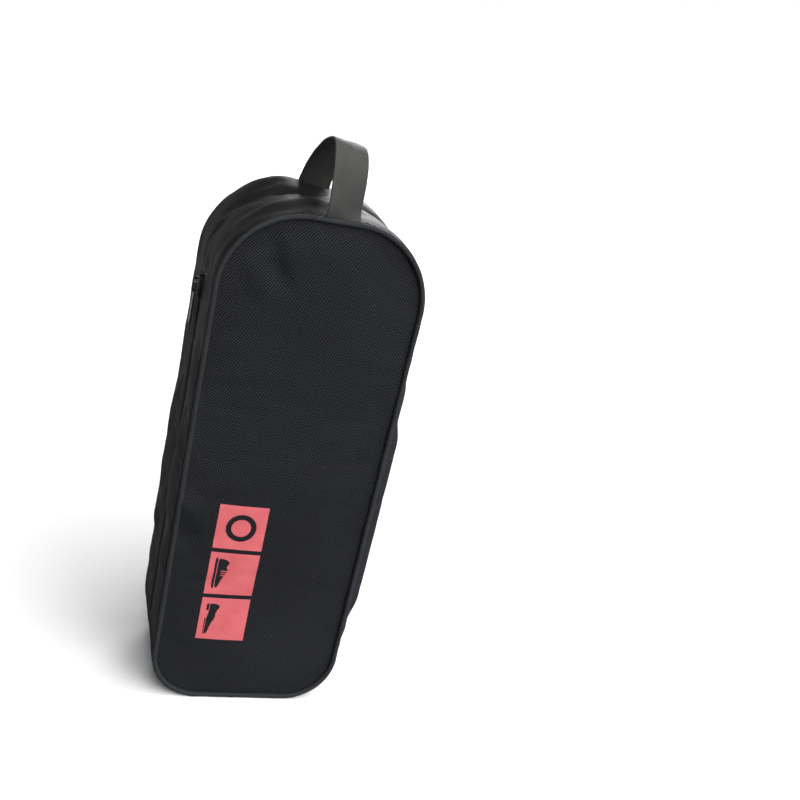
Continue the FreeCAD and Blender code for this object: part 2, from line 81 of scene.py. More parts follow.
# ---------------------------------------------------------------- workshop

def deselect():
    if bpy.context.mode != "OBJECT":
        bpy.ops.object.mode_set(mode="OBJECT")
    bpy.ops.object.select_all(action="DESELECT")


def take(piece):
    """Make one piece the only selected one."""
    deselect()
    piece.select_set(True)
    bpy.context.view_layer.objects.active = piece
    return piece


def open_up(piece):
    take(piece)
    bpy.ops.object.mode_set(mode="EDIT")


def start(name, primitive, **place):
    """Add a primitive at its size and place, and open it for editing."""
    deselect()
    primitive(**place)
    piece = bpy.context.active_object
    piece.name = piece.data.name = name
    bpy.ops.object.transform_apply(location=True, rotation=True, scale=True)
    bpy.ops.object.mode_set(mode="EDIT")
    bpy.ops.mesh.select_all(action="SELECT")
    return piece


def pick(piece, kind, wanted):
    """Select the points, edges or faces of an open piece that a test picks."""
    bpy.ops.mesh.select_mode(type={"verts": "VERT", "edges": "EDGE", "faces": "FACE"}[kind])
    mesh = bmesh.from_edit_mesh(piece.data)
    for item in (*mesh.verts, *mesh.edges, *mesh.faces):
        item.select_set(False)
    for item in getattr(mesh, kind):
        if wanted(item):
            item.select_set(True)
    mesh.select_flush_mode()
    bmesh.update_edit_mesh(piece.data)


def middle(item):
    """The middle of an edge or a face."""
    return sum((v.co for v in item.verts), Vector()) / len(item.verts)


def cut(piece, at, facing, clear=False):
    """Cut an open piece by a plane, and throw away what lies past it if asked."""
    bpy.ops.mesh.select_all(action="SELECT")
    bpy.ops.mesh.bisect(plane_co=at, plane_no=facing, clear_outer=clear, threshold=1e-6)


def outline_planes(inset, turns=14):
    """Planes round the face's outline, a given way inside the bag's edge."""
    found = [((0, 0, TALL - inset), (0, 0, 1)), ((0, 0, inset), (0, 0, -1))]
    for side in (1, -1):
        corners = (
            (TOP_WIDE / 2 - TOP_ROUND, TALL - TOP_ROUND, TOP_ROUND, -SIDE_LEAN, math.pi / 2),
            (BOTTOM_WIDE / 2 - BOTTOM_ROUND, BOTTOM_ROUND, BOTTOM_ROUND, -math.pi / 2, -SIDE_LEAN),
        )
        for across, up, reach, low, high in corners:
            for step in range(turns + 1):
                angle = low + (high - low) * step / turns
                out = Vector((side * math.cos(angle), 0, math.sin(angle)))
                at = Vector((side * across, 0, up)) + out * (reach - inset)
                found.append((at, out))
    return found


def trim_to_outline(piece, inset, turns=14):
    for at, facing in outline_planes(inset, turns):
        cut(piece, at, facing, clear=True)


def make_loop(name, inset, across, turns=14, cell=CLOTH_CELL):
    """The face's outline as a closed line of edges, in the plane that lies across the bag there."""
    piece = start(name, bpy.ops.mesh.primitive_plane_add, size=0.6, rotation=(math.pi / 2, 0, 0),
                  location=(0, across, TALL / 2))
    trim_to_outline(piece, inset, turns)
    pick(piece, "faces", lambda f: True)
    bpy.ops.mesh.delete(type="ONLY_FACE")
    pick(piece, "edges", lambda e: e.calc_length() > 0.15)
    bpy.ops.mesh.subdivide(number_cuts=int(0.28 / cell))
    pick(piece, "edges", lambda e: e.calc_length() > 0.012)
    bpy.ops.mesh.subdivide(number_cuts=int(0.05 / cell))
    return piece


def modify(piece, kind, **settings):
    """Add a modifier to a piece, set it and apply it."""
    take(piece)
    bpy.ops.object.modifier_add(type=kind)
    modifier = piece.modifiers[-1]
    for name, value in settings.items():
        setattr(modifier, name, value)
    bpy.ops.object.modifier_apply(modifier=modifier.name)


def smooth(piece, degrees=40):
    take(piece)
    bpy.ops.object.shade_smooth_by_angle(angle=math.radians(degrees))


def refine(piece, levels=1):
    modify(piece, "SUBSURF", levels=levels, render_levels=levels, boundary_smooth="PRESERVE_CORNERS")


def thicken(piece, thickness, offset=-1.0):
    modify(piece, "SOLIDIFY", thickness=thickness, offset=offset, use_even_offset=False)


def outwards(piece):
    """Turn a closed or open piece's faces to point out of it."""
    open_up(piece)
    bpy.ops.mesh.select_all(action="SELECT")
    bpy.ops.mesh.normals_make_consistent(inside=False)
    deselect()


def split_off(piece, name, wanted):
    """Take the faces that a test picks out of a piece, as a new piece."""
    open_up(piece)
    pick(piece, "faces", wanted)
    bpy.ops.mesh.separate(type="SELECTED")
    bpy.ops.object.mode_set(mode="OBJECT")
    part = [o for o in bpy.context.selected_objects if o is not piece][0]
    part.name = part.data.name = name
    deselect()
    return part


def push(piece, at, by, reach):
    """Press or pull soft cloth at one place, so that what lies near goes with it."""
    open_up(piece)
    place = Vector(at)
    mesh = bmesh.from_edit_mesh(piece.data)
    near = min(mesh.verts, key=lambda v: (v.co - place).length_squared).index
    pick(piece, "verts", lambda v: v.index == near)
    bpy.ops.transform.translate(value=by, use_proportional_edit=True, proportional_size=reach,
                                proportional_edit_falloff="SMOOTH")
    deselect()


def fold(piece, folds):
    """Folds, each along a line and deepest at its middle; one of a single step is a dent."""
    for first, last, by, reach, steps in folds:
        for step in range(steps):
            along = (step + 0.5) / steps
            at = Vector(first).lerp(Vector(last), along)
            push(piece, at, Vector(by) * math.sin(math.pi * along), reach)


def swell(piece, side, across, low, high, out, reach):
    """Pull a whole upright line of a side's cloth out at once."""
    open_up(piece)
    pick(piece, "verts", lambda v: (side * v.co.x > TOP_WIDE / 3 and low < v.co.z < high
                                    and abs(v.co.y - across) < 0.55 * CLOTH_CELL))
    bpy.ops.transform.translate(value=(side * out, 0, 0), use_proportional_edit=True, proportional_size=reach)
    deselect()


def rumple(piece, name, size, depth, loose=""):
    """Give cloth the unevenness that it has from handling, all over or only where it is loose."""
    texture = bpy.data.textures.new(name, type="CLOUDS")
    texture.noise_scale = size
    modify(piece, "DISPLACE", texture=texture, strength=depth, mid_level=0.5, direction="NORMAL",
           texture_coords="LOCAL", vertex_group=loose)


def free_cloth(piece, sewn):
    """The group of a cloth's points that no seam holds."""
    group = piece.vertex_groups.new(name="free_cloth")
    group.add([v.index for v in piece.data.vertices if not sewn(v.co)], 1.0, "REPLACE")
    return group.name


def settle(piece, sewn, slack, pressure, most, stiff=12.0):
    """Let cloth that is held at its seams swell and wrinkle, and cap how far it goes."""
    before = [v.co.copy() for v in piece.data.vertices]
    group = piece.vertex_groups.new(name="sewn")
    group.add([v.index for v in piece.data.vertices if sewn(v.co)], 1.0, "REPLACE")
    take(piece)
    bpy.ops.object.modifier_add(type="CLOTH")
    cloth = piece.modifiers[-1]
    settings = cloth.settings
    settings.quality = 6
    settings.mass = 0.15
    settings.tension_stiffness = stiff
    settings.compression_stiffness = stiff
    settings.shear_stiffness = stiff / 2
    settings.bending_stiffness = 0.2
    settings.use_pressure = True
    settings.uniform_pressure_force = pressure
    settings.vertex_group_mass = "sewn"
    settings.shrink_min = -slack
    settings.effector_weights.gravity = 0
    cloth.point_cache.frame_start = 1
    cloth.point_cache.frame_end = SETTLING_FRAMES
    for frame_number in range(1, SETTLING_FRAMES + 1):
        scene.frame_set(frame_number)
    bpy.ops.object.modifier_apply(modifier=cloth.name)
    scene.frame_set(1)
    for vertex, at in zip(piece.data.vertices, before):
        move = vertex.co - at
        if move.length > 1e-7:
            vertex.co = at + move * (most * math.tanh(move.length / most) / move.length)
    piece.data.update()


# ------------------------------------------------------- the cloths' lay

def way_round(point, side):
    """How far round the outline a point lies from the middle of the top, and how far out."""
    across, up = side * point.x, point.z
    top_in, top_up = TOP_WIDE / 2 - TOP_ROUND, TALL - TOP_ROUND
    bottom_in = BOTTOM_WIDE / 2 - BOTTOM_ROUND
    quarter = math.pi / 2
    if up >= top_up:
        if across <= top_in:
            return side * across, up - top_up
        angle = math.atan2(up - top_up, across - top_in)
        reach = math.hypot(up - top_up, across - top_in)
        return side * (top_in + TOP_ROUND * (quarter - angle)), reach
    down = top_in + TOP_ROUND * quarter
    if up >= BOTTOM_ROUND:
        return side * (down + top_up - up), across
    down += top_up - BOTTOM_ROUND
    if across >= bottom_in:
        angle = math.atan2(BOTTOM_ROUND - up, across - bottom_in)
        return side * (down + BOTTOM_ROUND * angle), math.hypot(across - bottom_in, BOTTOM_ROUND - up)
    return side * (down + BOTTOM_ROUND * quarter + bottom_in - across), BOTTOM_ROUND - up


def lay_pattern(piece, place):
    """Lay the cloth's own pattern on a piece, in metres, as the cloth was cut."""
    layer = piece.data.uv_layers.get("lay") or piece.data.uv_layers.new(name="lay")
    for face in piece.data.polygons:
        for corner in face.loop_indices:
            point = piece.data.vertices[piece.data.loops[corner].vertex_index].co
            layer.data[corner].uv = place(point, face)
    for other in [u for u in piece.data.uv_layers if u.name != "lay"]:
        piece.data.uv_layers.remove(other)


def lay_flat(point, face):
    return point.x, point.z


def lay_round(point, face):
    return way_round(point, 1 if face.center.x >= 0 else -1)[0], point.y


# ---------------------------------------------------------------- finishes

def new_group(name, inputs, outputs):
    group = bpy.data.node_groups.new(name, "ShaderNodeTree")
    for label, kind, value in inputs:
        socket = group.interface.new_socket(label, in_out="INPUT", socket_type=kind)
        if value is not None:
            socket.default_value = value
    for label, kind in outputs:
        group.interface.new_socket(label, in_out="OUTPUT", socket_type=kind)
    return group, group.nodes.new("NodeGroupInput"), group.nodes.new("NodeGroupOutput")


def math_node(tree, operation, *values, clamp=False):
    node = tree.nodes.new("ShaderNodeMath")
    node.operation = operation
    node.use_clamp = clamp
    for socket, value in zip(node.inputs, values):
        if isinstance(value, bpy.types.NodeSocket):
            tree.links.new(value, socket)
        else:
            socket.default_value = value
    return node.outputs[0]


def noise_node(tree, where, scale, detail=2.0, roughness=0.5):
    node = tree.nodes.new("ShaderNodeTexNoise")
    tree.links.new(where, node.inputs["Vector"])
    node.inputs["Scale"].default_value = scale
    node.inputs["Detail"].default_value = detail
    node.inputs["Roughness"].default_value = roughness
    return node.outputs["Fac"]


FLOAT, VECTOR = "NodeSocketFloat", "NodeSocketVector"


def scale_vector(tree, vector, by):
    node = tree.nodes.new("ShaderNodeVectorMath")
    node.operation = "SCALE"
    tree.links.new(vector, node.inputs[0])
    tree.links.new(by, node.inputs["Scale"])
    return node.outputs[0]


def build_weave():
    """Plain weave: yarns that pass over and under each other on a square grid."""
    group, inside, outside = new_group(
        "plain_weave",
        [("Lay", VECTOR, None), ("Yarn", FLOAT, 0.001), ("Wander", FLOAT, 0.15)],
        [("Height", FLOAT), ("Over", FLOAT)],
    )
    links = group.links
    shake = group.nodes.new("ShaderNodeTexNoise")
    shake.inputs["Scale"].default_value = 90.0
    shake.inputs["Detail"].default_value = 2.0
    links.new(inside.outputs["Lay"], shake.inputs["Vector"])
    count = math_node(group, "DIVIDE", 1.0, inside.outputs["Yarn"])
    moved = group.nodes.new("ShaderNodeVectorMath")
    links.new(scale_vector(group, inside.outputs["Lay"], count), moved.inputs[0])
    double = math_node(group, "MULTIPLY", inside.outputs["Wander"], 2.0)
    links.new(scale_vector(group, shake.outputs["Color"], double), moved.inputs[1])
    parts = group.nodes.new("ShaderNodeSeparateXYZ")
    links.new(moved.outputs[0], parts.inputs[0])
    bumps = []
    cells = []
    for axis in (0, 1):
        cells.append(math_node(group, "FLOOR", parts.outputs[axis]))
        within = math_node(group, "FRACT", parts.outputs[axis])
        bumps.append(math_node(group, "SINE", math_node(group, "MULTIPLY", within, math.pi)))
    over = math_node(group, "PINGPONG", math_node(group, "ADD", cells[0], cells[1]), 1.0)
    warp = math_node(group, "MULTIPLY", math_node(group, "POWER", bumps[0], 0.9),
                     math_node(group, "POWER", bumps[1], 0.35))
    weft = math_node(group, "MULTIPLY", math_node(group, "POWER", bumps[1], 0.9),
                     math_node(group, "POWER", bumps[0], 0.35))
    under = math_node(group, "SUBTRACT", 1.0, over)
    height = math_node(group, "ADD", math_node(group, "MULTIPLY", warp, over),
                       math_node(group, "MULTIPLY", weft, under))
    links.new(height, outside.inputs["Height"])
    links.new(over, outside.inputs["Over"])
    return group


def build_twill():
    """Twill: fine slanted ribs, each cut across by its yarns."""
    group, inside, outside = new_group(
        "twill",
        [("Lay", VECTOR, None), ("Rib", FLOAT, 0.0012), ("Turn", FLOAT, 0.0)],
        [("Height", FLOAT)],
    )
    links = group.links
    parts = group.nodes.new("ShaderNodeSeparateXYZ")
    links.new(inside.outputs["Lay"], parts.inputs[0])
    count = math_node(group, "DIVIDE", 1.0, inside.outputs["Rib"])
    zigzag = math_node(group, "MULTIPLY", math_node(group, "ABSOLUTE", parts.outputs[1]),
                       inside.outputs["Turn"])
    straight = math_node(group, "MULTIPLY", parts.outputs[1],
                         math_node(group, "SUBTRACT", 1.0, inside.outputs["Turn"]))
    slanted = math_node(group, "ADD", math_node(group, "ADD", parts.outputs[0], straight), zigzag)
    ribs = math_node(group, "MULTIPLY", slanted, count)
    rib = math_node(group, "SINE", math_node(group, "MULTIPLY", ribs, math.pi))
    yarns = math_node(group, "MULTIPLY", parts.outputs[1], count)
    cross = math_node(group, "SINE", math_node(group, "MULTIPLY", yarns, 2.6 * math.pi))
    height = math_node(group, "ADD", math_node(group, "POWER", math_node(group, "ABSOLUTE", rib), 0.6),
                       math_node(group, "MULTIPLY", cross, 0.2))
    links.new(height, outside.inputs["Height"])
    return group


def build_handling():
    """What use leaves on cloth: broad uneven tone, lint and the ridges of crumpling."""
    group, inside, outside = new_group(
        "handling",
        [("Place", VECTOR, None), ("Patch", FLOAT, 14.0), ("Lint", FLOAT, 0.5)],
        [("Tone", FLOAT), ("Lint", FLOAT), ("Crumple", FLOAT)],
    )
    links = group.links
    patch = group.nodes.new("ShaderNodeTexNoise")
    patch.inputs["Detail"].default_value = 4.0
    links.new(inside.outputs["Place"], patch.inputs["Vector"])
    links.new(inside.outputs["Patch"], patch.inputs["Scale"])
    links.new(patch.outputs["Fac"], outside.inputs["Tone"])
    specks = group.nodes.new("ShaderNodeTexVoronoi")
    specks.inputs["Scale"].default_value = 260.0
    links.new(inside.outputs["Place"], specks.inputs["Vector"])
    fleck = math_node(group, "LESS_THAN", specks.outputs["Distance"], 0.07)
    rare = math_node(group, "GREATER_THAN", noise_node(group, inside.outputs["Place"], 60.0), 0.56)
    links.new(math_node(group, "MULTIPLY", math_node(group, "MULTIPLY", fleck, rare),
                        inside.outputs["Lint"]), outside.inputs["Lint"])
    fold = noise_node(group, inside.outputs["Place"], 38.0, 3.0, 0.55)
    ridge = math_node(group, "ABSOLUTE", math_node(group, "SUBTRACT", fold, 0.5))
    links.new(math_node(group, "SUBTRACT", 1.0, math_node(group, "MULTIPLY", ridge, 4.0, clamp=True)),
              outside.inputs["Crumple"])
    return group


weave_group = build_weave()
twill_group = build_twill()
handling_group = build_handling()


def place_group(material, group, **values):
    node = material.node_tree.nodes.new("ShaderNodeGroup")
    node.node_tree = group
    for name, value in values.items():
        if isinstance(value, bpy.types.NodeSocket):
            material.node_tree.links.new(value, node.inputs[name])
        else:
            node.inputs[name].default_value = value
    return node


def new_material(name):
    material = bpy.data.materials.new(name)
    material.use_nodes = True
    shader = material.node_tree.nodes["Principled BSDF"]
    return material, material.node_tree, shader


def mix_colours(tree, share, first, second, blend="MIX"):
    node = tree.nodes.new("ShaderNodeMix")
    node.data_type = "RGBA"
    node.blend_type = blend
    for socket, value in ((node.inputs[0], share), (node.inputs[6], first), (node.inputs[7], second)):
        if isinstance(value, bpy.types.NodeSocket):
            tree.links.new(value, socket)
        elif isinstance(value, float):
            socket.default_value = value
        else:
            socket.default_value = (*value, 1.0)
    return node.outputs[2]


def ramp(tree, value, low, high, low_to=0.0, high_to=1.0):
    node = tree.nodes.new("ShaderNodeMapRange")
    tree.links.new(value, node.inputs["Value"])
    node.inputs["From Min"].default_value = low
    node.inputs["From Max"].default_value = high
    node.inputs["To Min"].default_value = low_to
    node.inputs["To Max"].default_value = high_to
    return node.outputs["Result"]


def bump(tree, shader, height, distance, strength=1.0, onto=None):
    node = tree.nodes.new("ShaderNodeBump")
    node.inputs["Distance"].default_value = distance
    node.inputs["Strength"].default_value = strength
    tree.links.new(height, node.inputs["Height"])
    if onto is not None:
        tree.links.new(onto, node.inputs["Normal"])
    tree.links.new(node.outputs["Normal"], shader.inputs["Normal"])
    return node.outputs["Normal"]


def make_cloth(name, dark, light, pattern, pattern_size, depth, rough, sheen, patch=14.0, lint=0.5,
               crumple=0.0, sheen_colour=(0.7, 0.8, 1.0), wander=0.15, turn=0.0, specular=0.3,
               painted_under_yarn_shade=1.0):
    """A woven cloth: its weave in height and gloss, with painted shade between the yarns and painted sheen
    contrast between over and under yarns, and what handling adds.
    """
    material, tree, shader = new_material(name)
    lay = tree.nodes.new("ShaderNodeUVMap")
    lay.uv_map = "lay"
    place = tree.nodes.new("ShaderNodeTexCoord")
    if pattern is weave_group:
        woven = place_group(material, pattern, Lay=lay.outputs[0], Yarn=pattern_size, Wander=wander)
    else:
        woven = place_group(material, pattern, Lay=lay.outputs[0], Rib=pattern_size, Turn=turn)
    used = place_group(material, handling_group, Place=place.outputs["Object"], Patch=patch, Lint=lint)
    tone = ramp(tree, used.outputs["Tone"], 0.3, 0.7)
    # Painted shade: the base colour is darkened in the gaps between yarns, where shade falls.
    painted_weave_shade = ramp(tree, woven.outputs["Height"], 0.15, 0.9, 0.35, 1.0)
    if pattern is weave_group:
        # Painted sheen: on a plain weave the under yarns are darkened against the over yarns, standing in for
        # the sheen's direction.
        painted_yarn_sheen_shade = ramp(tree, woven.outputs["Over"], 0.0, 1.0, painted_under_yarn_shade, 1.0)
        painted_weave_shade = math_node(tree, "MULTIPLY", painted_weave_shade, painted_yarn_sheen_shade)
    base = mix_colours(tree, tone, dark, light)
    base = mix_colours(tree, 1.0, base, painted_weave_shade, "MULTIPLY")
    base = mix_colours(tree, used.outputs["Lint"], base, (0.30, 0.31, 0.34))
    tree.links.new(base, shader.inputs["Base Color"])
    tree.links.new(ramp(tree, woven.outputs["Height"], 0.0, 1.0, min(rough + 0.25, 1.0), rough),
                   shader.inputs["Roughness"])
    shader.inputs["Sheen Weight"].default_value = sheen
    shader.inputs["Sheen Roughness"].default_value = 0.45
    shader.inputs["Sheen Tint"].default_value = (*sheen_colour, 1.0)
    shader.inputs["Specular IOR Level"].default_value = specular
    under = None
    if crumple:
        under = bump(tree, shader, used.outputs["Crumple"], crumple, 0.6)
    bump(tree, shader, woven.outputs["Height"], depth, 1.0, under)
    return material


oxford = make_cloth(
    "coarse_oxford_cloth", (0.030, 0.033, 0.041), (0.046, 0.050, 0.060), weave_group,
    pattern_size=0.00114, depth=0.00035, rough=0.48, sheen=0.02, patch=9.0, lint=0.25,
    specular=0.16, painted_under_yarn_shade=0.03)
nylon = make_cloth(
    "smooth_nylon_cloth", (0.010, 0.0105, 0.0105), (0.017, 0.0175, 0.0165), weave_group,
    pattern_size=0.00042, depth=0.00006, rough=0.40, sheen=0.03, patch=12.0, lint=0.25,
    crumple=0.0005, sheen_colour=(0.9, 0.95, 0.9), specular=0.22, painted_under_yarn_shade=0.8)
piping_cloth = make_cloth(
    "piping_cloth", (0.028, 0.031, 0.037), (0.048, 0.052, 0.060), weave_group,
    pattern_size=0.0010, depth=0.0003, rough=0.36, sheen=0.05, patch=30.0, lint=0.3,
    specular=0.4, painted_under_yarn_shade=0.25)
binding_cloth = make_cloth(
    "binding_tape_cloth", (0.012, 0.012, 0.014), (0.020, 0.020, 0.023), weave_group,
    pattern_size=0.0008, depth=0.0002, rough=0.6, sheen=0.03, patch=20.0, lint=0.2, painted_under_yarn_shade=0.7)
webbing_cloth = make_cloth(
    "webbing_twill", (0.050, 0.052, 0.051), (0.082, 0.085, 0.080), twill_group,
    pattern_size=0.0020, depth=0.0003, rough=0.5, sheen=0.05, patch=25.0, lint=0.4,
    specular=0.2, sheen_colour=(0.95, 1.0, 0.9), turn=0.0)
zip_tape_cloth = make_cloth(
    "zipper_tape_twill", (0.010, 0.010, 0.011), (0.016, 0.016, 0.017), twill_group,
    pattern_size=0.0007, depth=0.0002, rough=0.6, sheen=0.03, patch=40.0, lint=0.2, turn=1.0)


def make_thread():
    material, tree, shader = new_material("stitching_thread")
    place = tree.nodes.new("ShaderNodeTexCoord")
    twist = tree.nodes.new("ShaderNodeTexWave")
    twist.inputs["Scale"].default_value = 900.0
    twist.inputs["Distortion"].default_value = 1.0
    tree.links.new(place.outputs["Object"], twist.inputs["Vector"])
    tree.links.new(mix_colours(tree, twist.outputs["Fac"], (0.014, 0.014, 0.016), (0.05, 0.05, 0.055)),
                   shader.inputs["Base Color"])
    tree.links.new(ramp(tree, twist.outputs["Fac"], 0, 1, 0.6, 0.35), shader.inputs["Roughness"])
    shader.inputs["Sheen Weight"].default_value = 0.2
    bump(tree, shader, twist.outputs["Fac"], 0.0001)
    return material


def make_coil_nylon():
    material, tree, shader = new_material("coil_nylon")
    place = tree.nodes.new("ShaderNodeTexCoord")
    worn = noise_node(tree, place.outputs["Object"], 220.0, 4.0)
    tree.links.new(mix_colours(tree, worn, (0.010, 0.010, 0.011), (0.030, 0.030, 0.032)),
                   shader.inputs["Base Color"])
    tree.links.new(ramp(tree, worn, 0.3, 0.7, 0.28, 0.5), shader.inputs["Roughness"])
    bump(tree, shader, worn, 0.00005)
    return material


def make_enamel():
    """Black enamel on die-cast metal, scuffed through in small places."""
    material, tree, shader = new_material("enamelled_metal")
    place = tree.nodes.new("ShaderNodeTexCoord")
    worn = noise_node(tree, place.outputs["Object"], 900.0, 5.0, 0.65)
    scuffs = ramp(tree, worn, 0.66, 0.70)
    tree.links.new(mix_colours(tree, scuffs, (0.010, 0.010, 0.011), (0.20, 0.19, 0.18)),
                   shader.inputs["Base Color"])
    tree.links.new(math_node(tree, "MULTIPLY", scuffs, 0.9), shader.inputs["Metallic"])
    tree.links.new(ramp(tree, worn, 0.3, 0.7, 0.22, 0.36), shader.inputs["Roughness"])
    shader.inputs["Coat Weight"].default_value = 0.3
    shader.inputs["Coat Roughness"].default_value = 0.2
    bump(tree, shader, worn, 0.00002)
    return material


def make_vinyl():
    """Clear soft vinyl with a faint violet cast, its surface broadly waved; its fold creases are shaped in
    the window itself.

    Only its gloss and haze are there to be seen, so its coat is strong where its alpha is low.
    """
    material, tree, shader = new_material("clear_soft_vinyl")
    place = tree.nodes.new("ShaderNodeTexCoord").outputs["Object"]
    wave = noise_node(tree, place, 16.0, 2.0, 0.4)
    used = place_group(material, handling_group, Place=place, Patch=30.0, Lint=0.4)
    haze = ramp(tree, used.outputs["Tone"], 0.35, 0.75, 0.09, 0.17)
    grazing = tree.nodes.new("ShaderNodeFresnel")
    grazing.inputs["IOR"].default_value = 1.35
    seen = math_node(tree, "ADD", haze, math_node(tree, "MULTIPLY", grazing.outputs[0], 0.8), clamp=True)
    tint = mix_colours(tree, wave, (0.150, 0.160, 0.235), (0.215, 0.200, 0.290))
    tree.links.new(tint, shader.inputs["Base Color"])
    tree.links.new(seen, shader.inputs["Alpha"])
    tree.links.new(ramp(tree, wave, 0.3, 0.7, 0.05, 0.12), shader.inputs["Roughness"])
    shader.inputs["Coat Weight"].default_value = 1.0
    shader.inputs["Coat Roughness"].default_value = 0.03
    shader.inputs["Coat IOR"].default_value = 2.6
    shader.inputs["Specular IOR Level"].default_value = 0.9
    bump(tree, shader, wave, 0.003, 0.5)
    return material


def make_film():
    """Coral film pressed on the cloth, so that the weave shows through it."""
    material, tree, shader = new_material("coral_film")
    lay = tree.nodes.new("ShaderNodeUVMap")
    lay.uv_map = "lay"
    place = tree.nodes.new("ShaderNodeTexCoord")
    woven = place_group(material, weave_group, Lay=lay.outputs[0], Yarn=0.00112, Wander=0.15)
    used = place_group(material, handling_group, Place=place.outputs["Object"], Patch=60.0, Lint=0.2)
    tone = ramp(tree, used.outputs["Tone"], 0.3, 0.7)
    base = mix_colours(tree, tone, (0.70, 0.125, 0.145), (0.80, 0.170, 0.185))
    # Painted shade: the film's colour is darkened where the weave lies low.
    shade = ramp(tree, woven.outputs["Height"], 0.1, 0.8, 0.86, 1.0)
    tree.links.new(mix_colours(tree, 1.0, base, shade, "MULTIPLY"), shader.inputs["Base Color"])
    tree.links.new(ramp(tree, used.outputs["Tone"], 0.3, 0.7, 0.5, 0.62), shader.inputs["Roughness"])
    bump(tree, shader, woven.outputs["Height"], 0.00012)
    return material


def make_cord_core():
    material, tree, shader = new_material("twisted_cord")
    place = tree.nodes.new("ShaderNodeTexCoord")
    twist = noise_node(tree, place.outputs["Object"], 500.0, 3.0)
    tree.links.new(mix_colours(tree, twist, (0.10, 0.10, 0.10), (0.22, 0.22, 0.21)),
                   shader.inputs["Base Color"])
    tree.links.new(ramp(tree, twist, 0.3, 0.7, 0.7, 0.9), shader.inputs["Roughness"])
    bump(tree, shader, twist, 0.0002)
    return material


thread = make_thread()
cord_core = make_cord_core()
coil_nylon = make_coil_nylon()
enamel = make_enamel()
vinyl = make_vinyl()
film = make_film()


def clothe(piece, material):
    piece.data.materials.clear()
    piece.data.materials.append(material)


# -------------------------------------------------------------- the face

def make_panel(name, across, inset, cell):
    """A flat panel cut to the face's outline, as a fine net of cells."""
    columns, rows = round(0.16 / cell), round(0.4 / cell)
    panel = start(name, bpy.ops.mesh.primitive_grid_add, x_subdivisions=columns, y_subdivisions=rows,
                  size=1.0, rotation=(math.pi / 2, 0, 0))
    bpy.ops.transform.resize(value=(columns * cell, 1, rows * cell))
    bpy.ops.transform.translate(value=(0, across, TALL / 2))
    trim_to_outline(panel, inset)
    deselect()
    return panel


def by_seam(inset, reach=0.0048):
    """A test for the points of a panel that the seam holds."""
    planes = [(Vector(at), Vector(facing)) for at, facing in outline_planes(inset, 6)]

    def held(point):
        return any((Vector((point.x, 0, point.z)) - at).dot(facing) > -reach for at, facing in planes)

    return held


FACE_INSET = 0.0026
FACE_EDGE = 0.0480
FACE_FOLDS = (
    ((-0.043, -0.052, 0.357), (-0.023, -0.052, 0.322), (0, 0.0021, 0), 0.010, 8),
    ((-0.054, -0.052, 0.345), (-0.036, -0.052, 0.312), (0, -0.0010, 0), 0.011, 6),
    ((-0.063, -0.05, 0.160), (-0.063, -0.05, 0.160), (0, -0.0034, 0), 0.015, 1),
    ((-0.060, -0.05, 0.136), (-0.060, -0.05, 0.136), (0, 0.0030, 0), 0.014, 1),
    ((0.040, -0.052, 0.345), (0.040, -0.052, 0.345), (0, 0.0015, 0), 0.030, 1),
    ((0.020, -0.052, 0.090), (0.020, -0.052, 0.090), (0, 0.0020, 0), 0.060, 1),
    ((-0.045, -0.052, 0.030), (-0.045, -0.052, 0.030), (0, 0.0016, 0), 0.030, 1),
)
face = make_panel("front_face_cloth", -FACE_EDGE, FACE_INSET, CLOTH_CELL)
lay_pattern(face, lay_flat)
settle(face, by_seam(FACE_INSET), slack=0.004, pressure=2.2, most=0.0052)
fold(face, FACE_FOLDS)
refine(face)
rumple(face, "face_unevenness", 0.05, 0.0022)
thicken(face, OXFORD_THICK)
smooth(face)
clothe(face, oxford)
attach(face, "bag")
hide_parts("front_panel")

# ------------------------------------------------------------ the window

WINDOW_FOLDS = (
    ((-0.050, 0.052, 0.33), (0.045, 0.052, 0.29), (0, -0.0015, 0), 0.016, 8),
    ((0.052, 0.052, 0.25), (0.030, 0.052, 0.12), (0, -0.0012, 0), 0.014, 8),
    ((-0.055, 0.052, 0.20), (-0.030, 0.052, 0.08), (0, 0.0010, 0), 0.014, 8),
)
window = make_panel("rear_clear_window", FACE_EDGE, FACE_INSET, CLOTH_CELL)
lay_pattern(window, lay_flat)
open_up(window)
bpy.ops.mesh.select_all(action="SELECT")
bpy.ops.mesh.flip_normals()
deselect()
settle(window, by_seam(FACE_INSET), slack=0.003, pressure=1.8, most=0.0040)
fold(window, WINDOW_FOLDS)
refine(window)
rumple(window, "window_waves", 0.035, 0.0022)
thicken(window, VINYL_THICK)
smooth(window)
clothe(window, vinyl)
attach(window, "bag")
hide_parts("rear_window")

# ------------------------------------------------------------ the gusset

band = make_loop("gusset_band", 0.0, -SEAM_LINE)
pick(band, "edges", lambda e: True)
bpy.ops.mesh.extrude_region_move(TRANSFORM_OT_translate={"value": (0, 2 * SEAM_LINE, 0)})
pick(band, "edges", lambda e: abs(e.verts[0].co.y - e.verts[1].co.y) > SEAM_LINE)
bpy.ops.mesh.subdivide(number_cuts=int(2 * SEAM_LINE / CLOTH_CELL))
for height in (SEAM_HIGH, MOUTH_HIGH, MOUTH_MIDDLE, MOUTH_LOW):
    cut(band, (0, 0, height), (0, 0, 1))
for line in (-HINGE_LINE, -STRIP_EDGE, STRIP_EDGE, HINGE_LINE):
    cut(band, (0, line, 0), (0, 1, 0))
outwards(band)
lay_pattern(band, lay_round)


def in_mouth(face):
    at = middle(face)
    return at.x < 0 and MOUTH_LOW < at.z < MOUTH_HIGH


